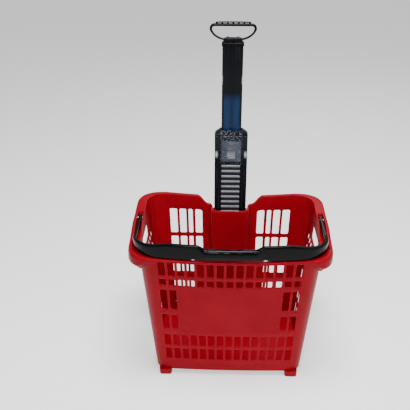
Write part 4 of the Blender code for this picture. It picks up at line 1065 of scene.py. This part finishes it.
def makeInnerStage():
    n = innerStage
    inner = np.array([-25.0, -22.6, -22.0, -21.4, -20.8, -20.0, -18.0, -16.0, -15.2, -14.4, -13.2, -12.4,
                      -10.5, -8.6, -7.8, -6.6, -5.1, -4.9, -2.5])
    columns = np.concatenate([inner, [0.0], -inner[::-1]])
    x = np.abs(columns)
    flutes = 1.5 * (np.exp(-((x - 10.5) / 2.0) ** 4) + np.exp(-((x - 18.0) / 2.0) ** 4))
    sink = np.where(x < 5.0, 5.5, flutes)
    section = tubeSection(n["half"], n["front"], n["back"], 2.0, columns, 4)
    section[:len(columns), 1] += sink
    rows = [n["low"], n["low"] + 0.6, 640.0, 740.0, n["high"] - 0.6, n["high"]]
    points = np.stack([np.column_stack([section, np.full(len(section), z)]) for z in rows])
    middle = np.array([0.0, 157.5])
    for end in (0, -1):
        points[end, :, :2] = middle + (points[end, :, :2] - middle) * 0.985
    Build().solid(points).finish("innerStage", blackWithBlueReflection, "inner_stage", "gloss_black",
                                 replaced=("inner_stage",))


makeInnerStage()


band = {"y": 157.5, "half": (28.8, 11.3), "bore": (27.3, 9.8), "boreZ": (834.0, 826.0),
        "line": ((826.0, -0.5), (826.5, 0.0), (833.5, 0.0), (834.0, -0.5))}


def makeBand():
    # a round-edged sleeve: its outer outline rises, then its bore comes back down
    halfX, halfY = band["half"]
    rings = [ringAt(z, halfX + grow, halfY + grow, 3.0, 5, (0.0, band["y"])) for z, grow in band["line"]]
    rings += [ringAt(z, *band["bore"], 0.8, 5, (0.0, band["y"])) for z in band["boreZ"]]
    Build().grid(np.stack(rings), closeRows=True).finish(
        "neckBand", blackPlastic, "inner_stage", "gloss_black", replaced=("neck_band",))


# grip: a D loop of round bar, a neck block and a palm bar over it

grip = {"top": 878.5, "y": 156.0, "lines": 20, "neckY": 157.0,
        "neck": ((837.4, 23.2, 7.4), (838.2, 24.0, 8.0), (843.0, 23.6, 8.0), (845.6, 21.0, 7.4),
                 (846.4, 19.0, 6.6))}
palm = {"y": 156.0, "half": 45.0, "z": 884.9, "rise": 0.9, "lines": 16, "posts": 7, "pitch": 14.0,
        "post": ((882.2, 0.4), (883.0, 0.0), (885.2, 0.0))}


def makeGrip():
    # half outline of the loop's centre line: straight top, round shoulders, arms bowed in to the neck
    top = grip["top"]
    a = np.radians(np.linspace(90.0, -20.0, 16))
    shoulder = np.column_stack([47.5 + 9.5 * np.cos(a), top - 9.5 + 9.5 * np.sin(a)])
    t = np.linspace(0.0, 1.0, 14)[1:]
    start, end = shoulder[-1], np.array([20.5, 842.5])
    pull = np.array([start + np.array([-2.5, -9.0]), end + np.array([19.0, 0.5])])
    arm = ((1 - t) ** 3)[:, None] * start + (3 * t * (1 - t) ** 2)[:, None] * pull[0]
    arm = arm + (3 * t ** 2 * (1 - t))[:, None] * pull[1] + (t ** 3)[:, None] * end
    right = np.concatenate([np.column_stack([np.linspace(4.0, 44.0, 6), np.full(6, top)]), shoulder, arm])
    left = right[::-1] * np.array([-1.0, 1.0])
    path = np.concatenate([left, [[0.0, top]], right])
    step = np.gradient(path, axis=0)
    step /= np.linalg.norm(step, axis=1)[:, None]
    normal = np.column_stack([-step[:, 1], step[:, 0]])
    b = np.linspace(0, 2 * np.pi, grip["lines"], endpoint=False)
    wide = mixed(3.4, 2.4, blendStep((top - 8.0 - path[:, 1]) / 16.0))
    deep = mixed(8.0, 6.4, blendStep((top - 8.0 - path[:, 1]) / 16.0))
    c = np.sign(np.cos(b)) * np.abs(np.cos(b)) ** 0.8
    d = np.sign(np.sin(b)) * np.abs(np.sin(b)) ** 0.7
    across = path[:, None, :] + normal[:, None, :] * (wide[:, None] * c)[..., None]
    depth = grip["y"] + deep[:, None] * d
    points = np.stack([across[..., 0], depth, across[..., 1]], axis=-1)
    build = Build().solid(points)
    build.solid(np.stack([ringAt(z, hx, hy, 3.0, 5, (0.0, grip["neckY"])) for z, hx, hy in grip["neck"]]))
    build.finish("gripLoop", blackPlastic, "inner_stage", "black_pp", replaced=("grip_loop",), sharp=50.0)


def makePalmBar():
    # a slim arched bar on seven posts, leaving six windows
    x = np.linspace(-palm["half"], palm["half"], 61)
    rise = palm["rise"] * (1 - (x / palm["half"]) ** 2)
    b = np.linspace(0, 2 * np.pi, palm["lines"], endpoint=False)
    deep = 6.0 * np.sqrt(np.clip(1 - (np.abs(x) / 46.5) ** 6, 0.15, 1))
    y = palm["y"] + deep[:, None] * np.sign(np.sin(b)) * np.abs(np.sin(b)) ** 0.7
    z = palm["z"] + rise[:, None] * 0.6 + 1.4 * np.sign(np.cos(b)) * np.abs(np.cos(b)) ** 0.8
    build = Build().solid(np.stack([np.repeat(x[:, None], len(b), axis=1), y, z], axis=-1))
    for k in range(palm["posts"]):
        middle = (k - (palm["posts"] - 1) / 2) * palm["pitch"]
        build.solid(np.stack([ringAt(z, 2.0 + grow, 5.2 + grow, 1.2, 3, (middle, palm["y"]))
                              for z, grow in palm["post"]]))
    build.finish("palmBar", blackPlastic, "inner_stage", "black_pp", replaced=("grip_palm_bar",))


makeBand()
makeGrip()
makePalmBar()
print("inner stage and grip done")


# sleeve mouth and wheels

bezel = {"y": 154.0, "half": (49.6, 20.1), "round": 5.6, "bore": (45.7, 16.7), "boreRound": 3.0,
         "line": ((350.3, -0.4), (350.8, 0.0), (353.2, 0.0), (353.8, -0.7)),
         "boreLine": ((354.0, 0.5), (353.4, 0.0), (350.3, 0.0))}


def makeBezel():
    rings = []
    for half, turn, line in (("half", "round", "line"), ("bore", "boreRound", "boreLine")):
        halfX, halfY = bezel[half]
        rings += [ringAt(z, halfX + grow, halfY + grow, bezel[turn], 6, (0.0, bezel["y"]))
                  for z, grow in bezel[line]]
    Build().grid(np.stack(rings), closeRows=True).finish(
        "sleeveBezel", redPlastic, "basket", "red_pp", replaced=("sleeve_bezel",))


makeBezel()


wheel = {"x": 150.0, "y": 152.0, "z": 27.0, "spokes": 6,
         "tread": [(-10.0, 22.2), (-10.0, 24.6), (-9.2, 26.0), (-7.6, 26.8), (-5.6, 27.0), (-5.2, 26.2),
                   (-4.6, 26.2), (-4.2, 27.0), (-0.5, 27.0), (-0.3, 26.2)],
         "hub": [(-11.5, 4.6), (-11.5, 7.4), (-11.0, 8.0), (-5.4, 9.0), (-4.6, 9.8), (-4.6, 16.6),
                 (-5.4, 17.6), (-8.4, 19.6), (-9.0, 20.4), (-9.0, 21.6)]}


def makeWheel(side):
    word = "right" if side > 0 else "left"
    centre = (side * wheel["x"], wheel["y"], wheel["z"])
    tread, hub = [line + [(-a, b) for a, b in line[::-1]] for line in (wheel["tread"], wheel["hub"])]
    Build().turned(tread, centre, 96).finish(
        "tyre" + word.title(), greyRubber, "wheel_" + word, "grey_rubber", replaced=("tyre_" + word,))
    build = Build().turned(hub, centre, 96)
    # six spokes stand out of the hub's web
    for k in range(wheel["spokes"]):
        a = 2 * np.pi * k / wheel["spokes"]
        rings = []
        for r in (8.4, 12.0, 18.4):
            w = 1.9 if r < 10 else 1.4
            x = np.array([-7.6, 7.6, 7.6, -7.6]) * (1.0 if r < 10 else 0.95)
            v = np.array([-w, -w, w, w])
            y = centre[1] + r * np.cos(a) - v * np.sin(a)
            z = centre[2] + r * np.sin(a) + v * np.cos(a)
            rings.append(np.column_stack([centre[0] + x, y, z]))
        build.solid(np.stack(rings))
    build.finish("wheelHub" + word.title(), greyAcetal, "wheel_" + word, "grey_acetal",
                 replaced=("wheel_hub_" + word,))


for wheelSide in (-1, 1):
    makeWheel(wheelSide)
print("wheels done")


# the CAD pieces that stay visible get the same materials

carriedOver = {
    "rear_channel_cover": redPlastic, "mast_sleeve": blackPlastic,
    "sleeve_end_cap": blackPlastic, "bail_pin": zincSteel, "cover_screw": zincSteel,
    "bracket_screw": zincSteel,
    "grip_screw": zincSteel, "axle_cap": blackPlastic, "axle": zincSteel, "wheel_bracket": blackPlastic,
    "outer_stage_glide": greyAcetal, "inner_stage_glide": greyAcetal,
    "inner_stage_stop": greyAcetal,
}
for nodeName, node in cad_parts.items():
    found = [k for k in carriedOver if nodeName.startswith(k)]
    if found:
        node.data.materials.clear()
        node.data.materials.append(carriedOver[max(found, key=len)])
print("carried-over nodes painted")
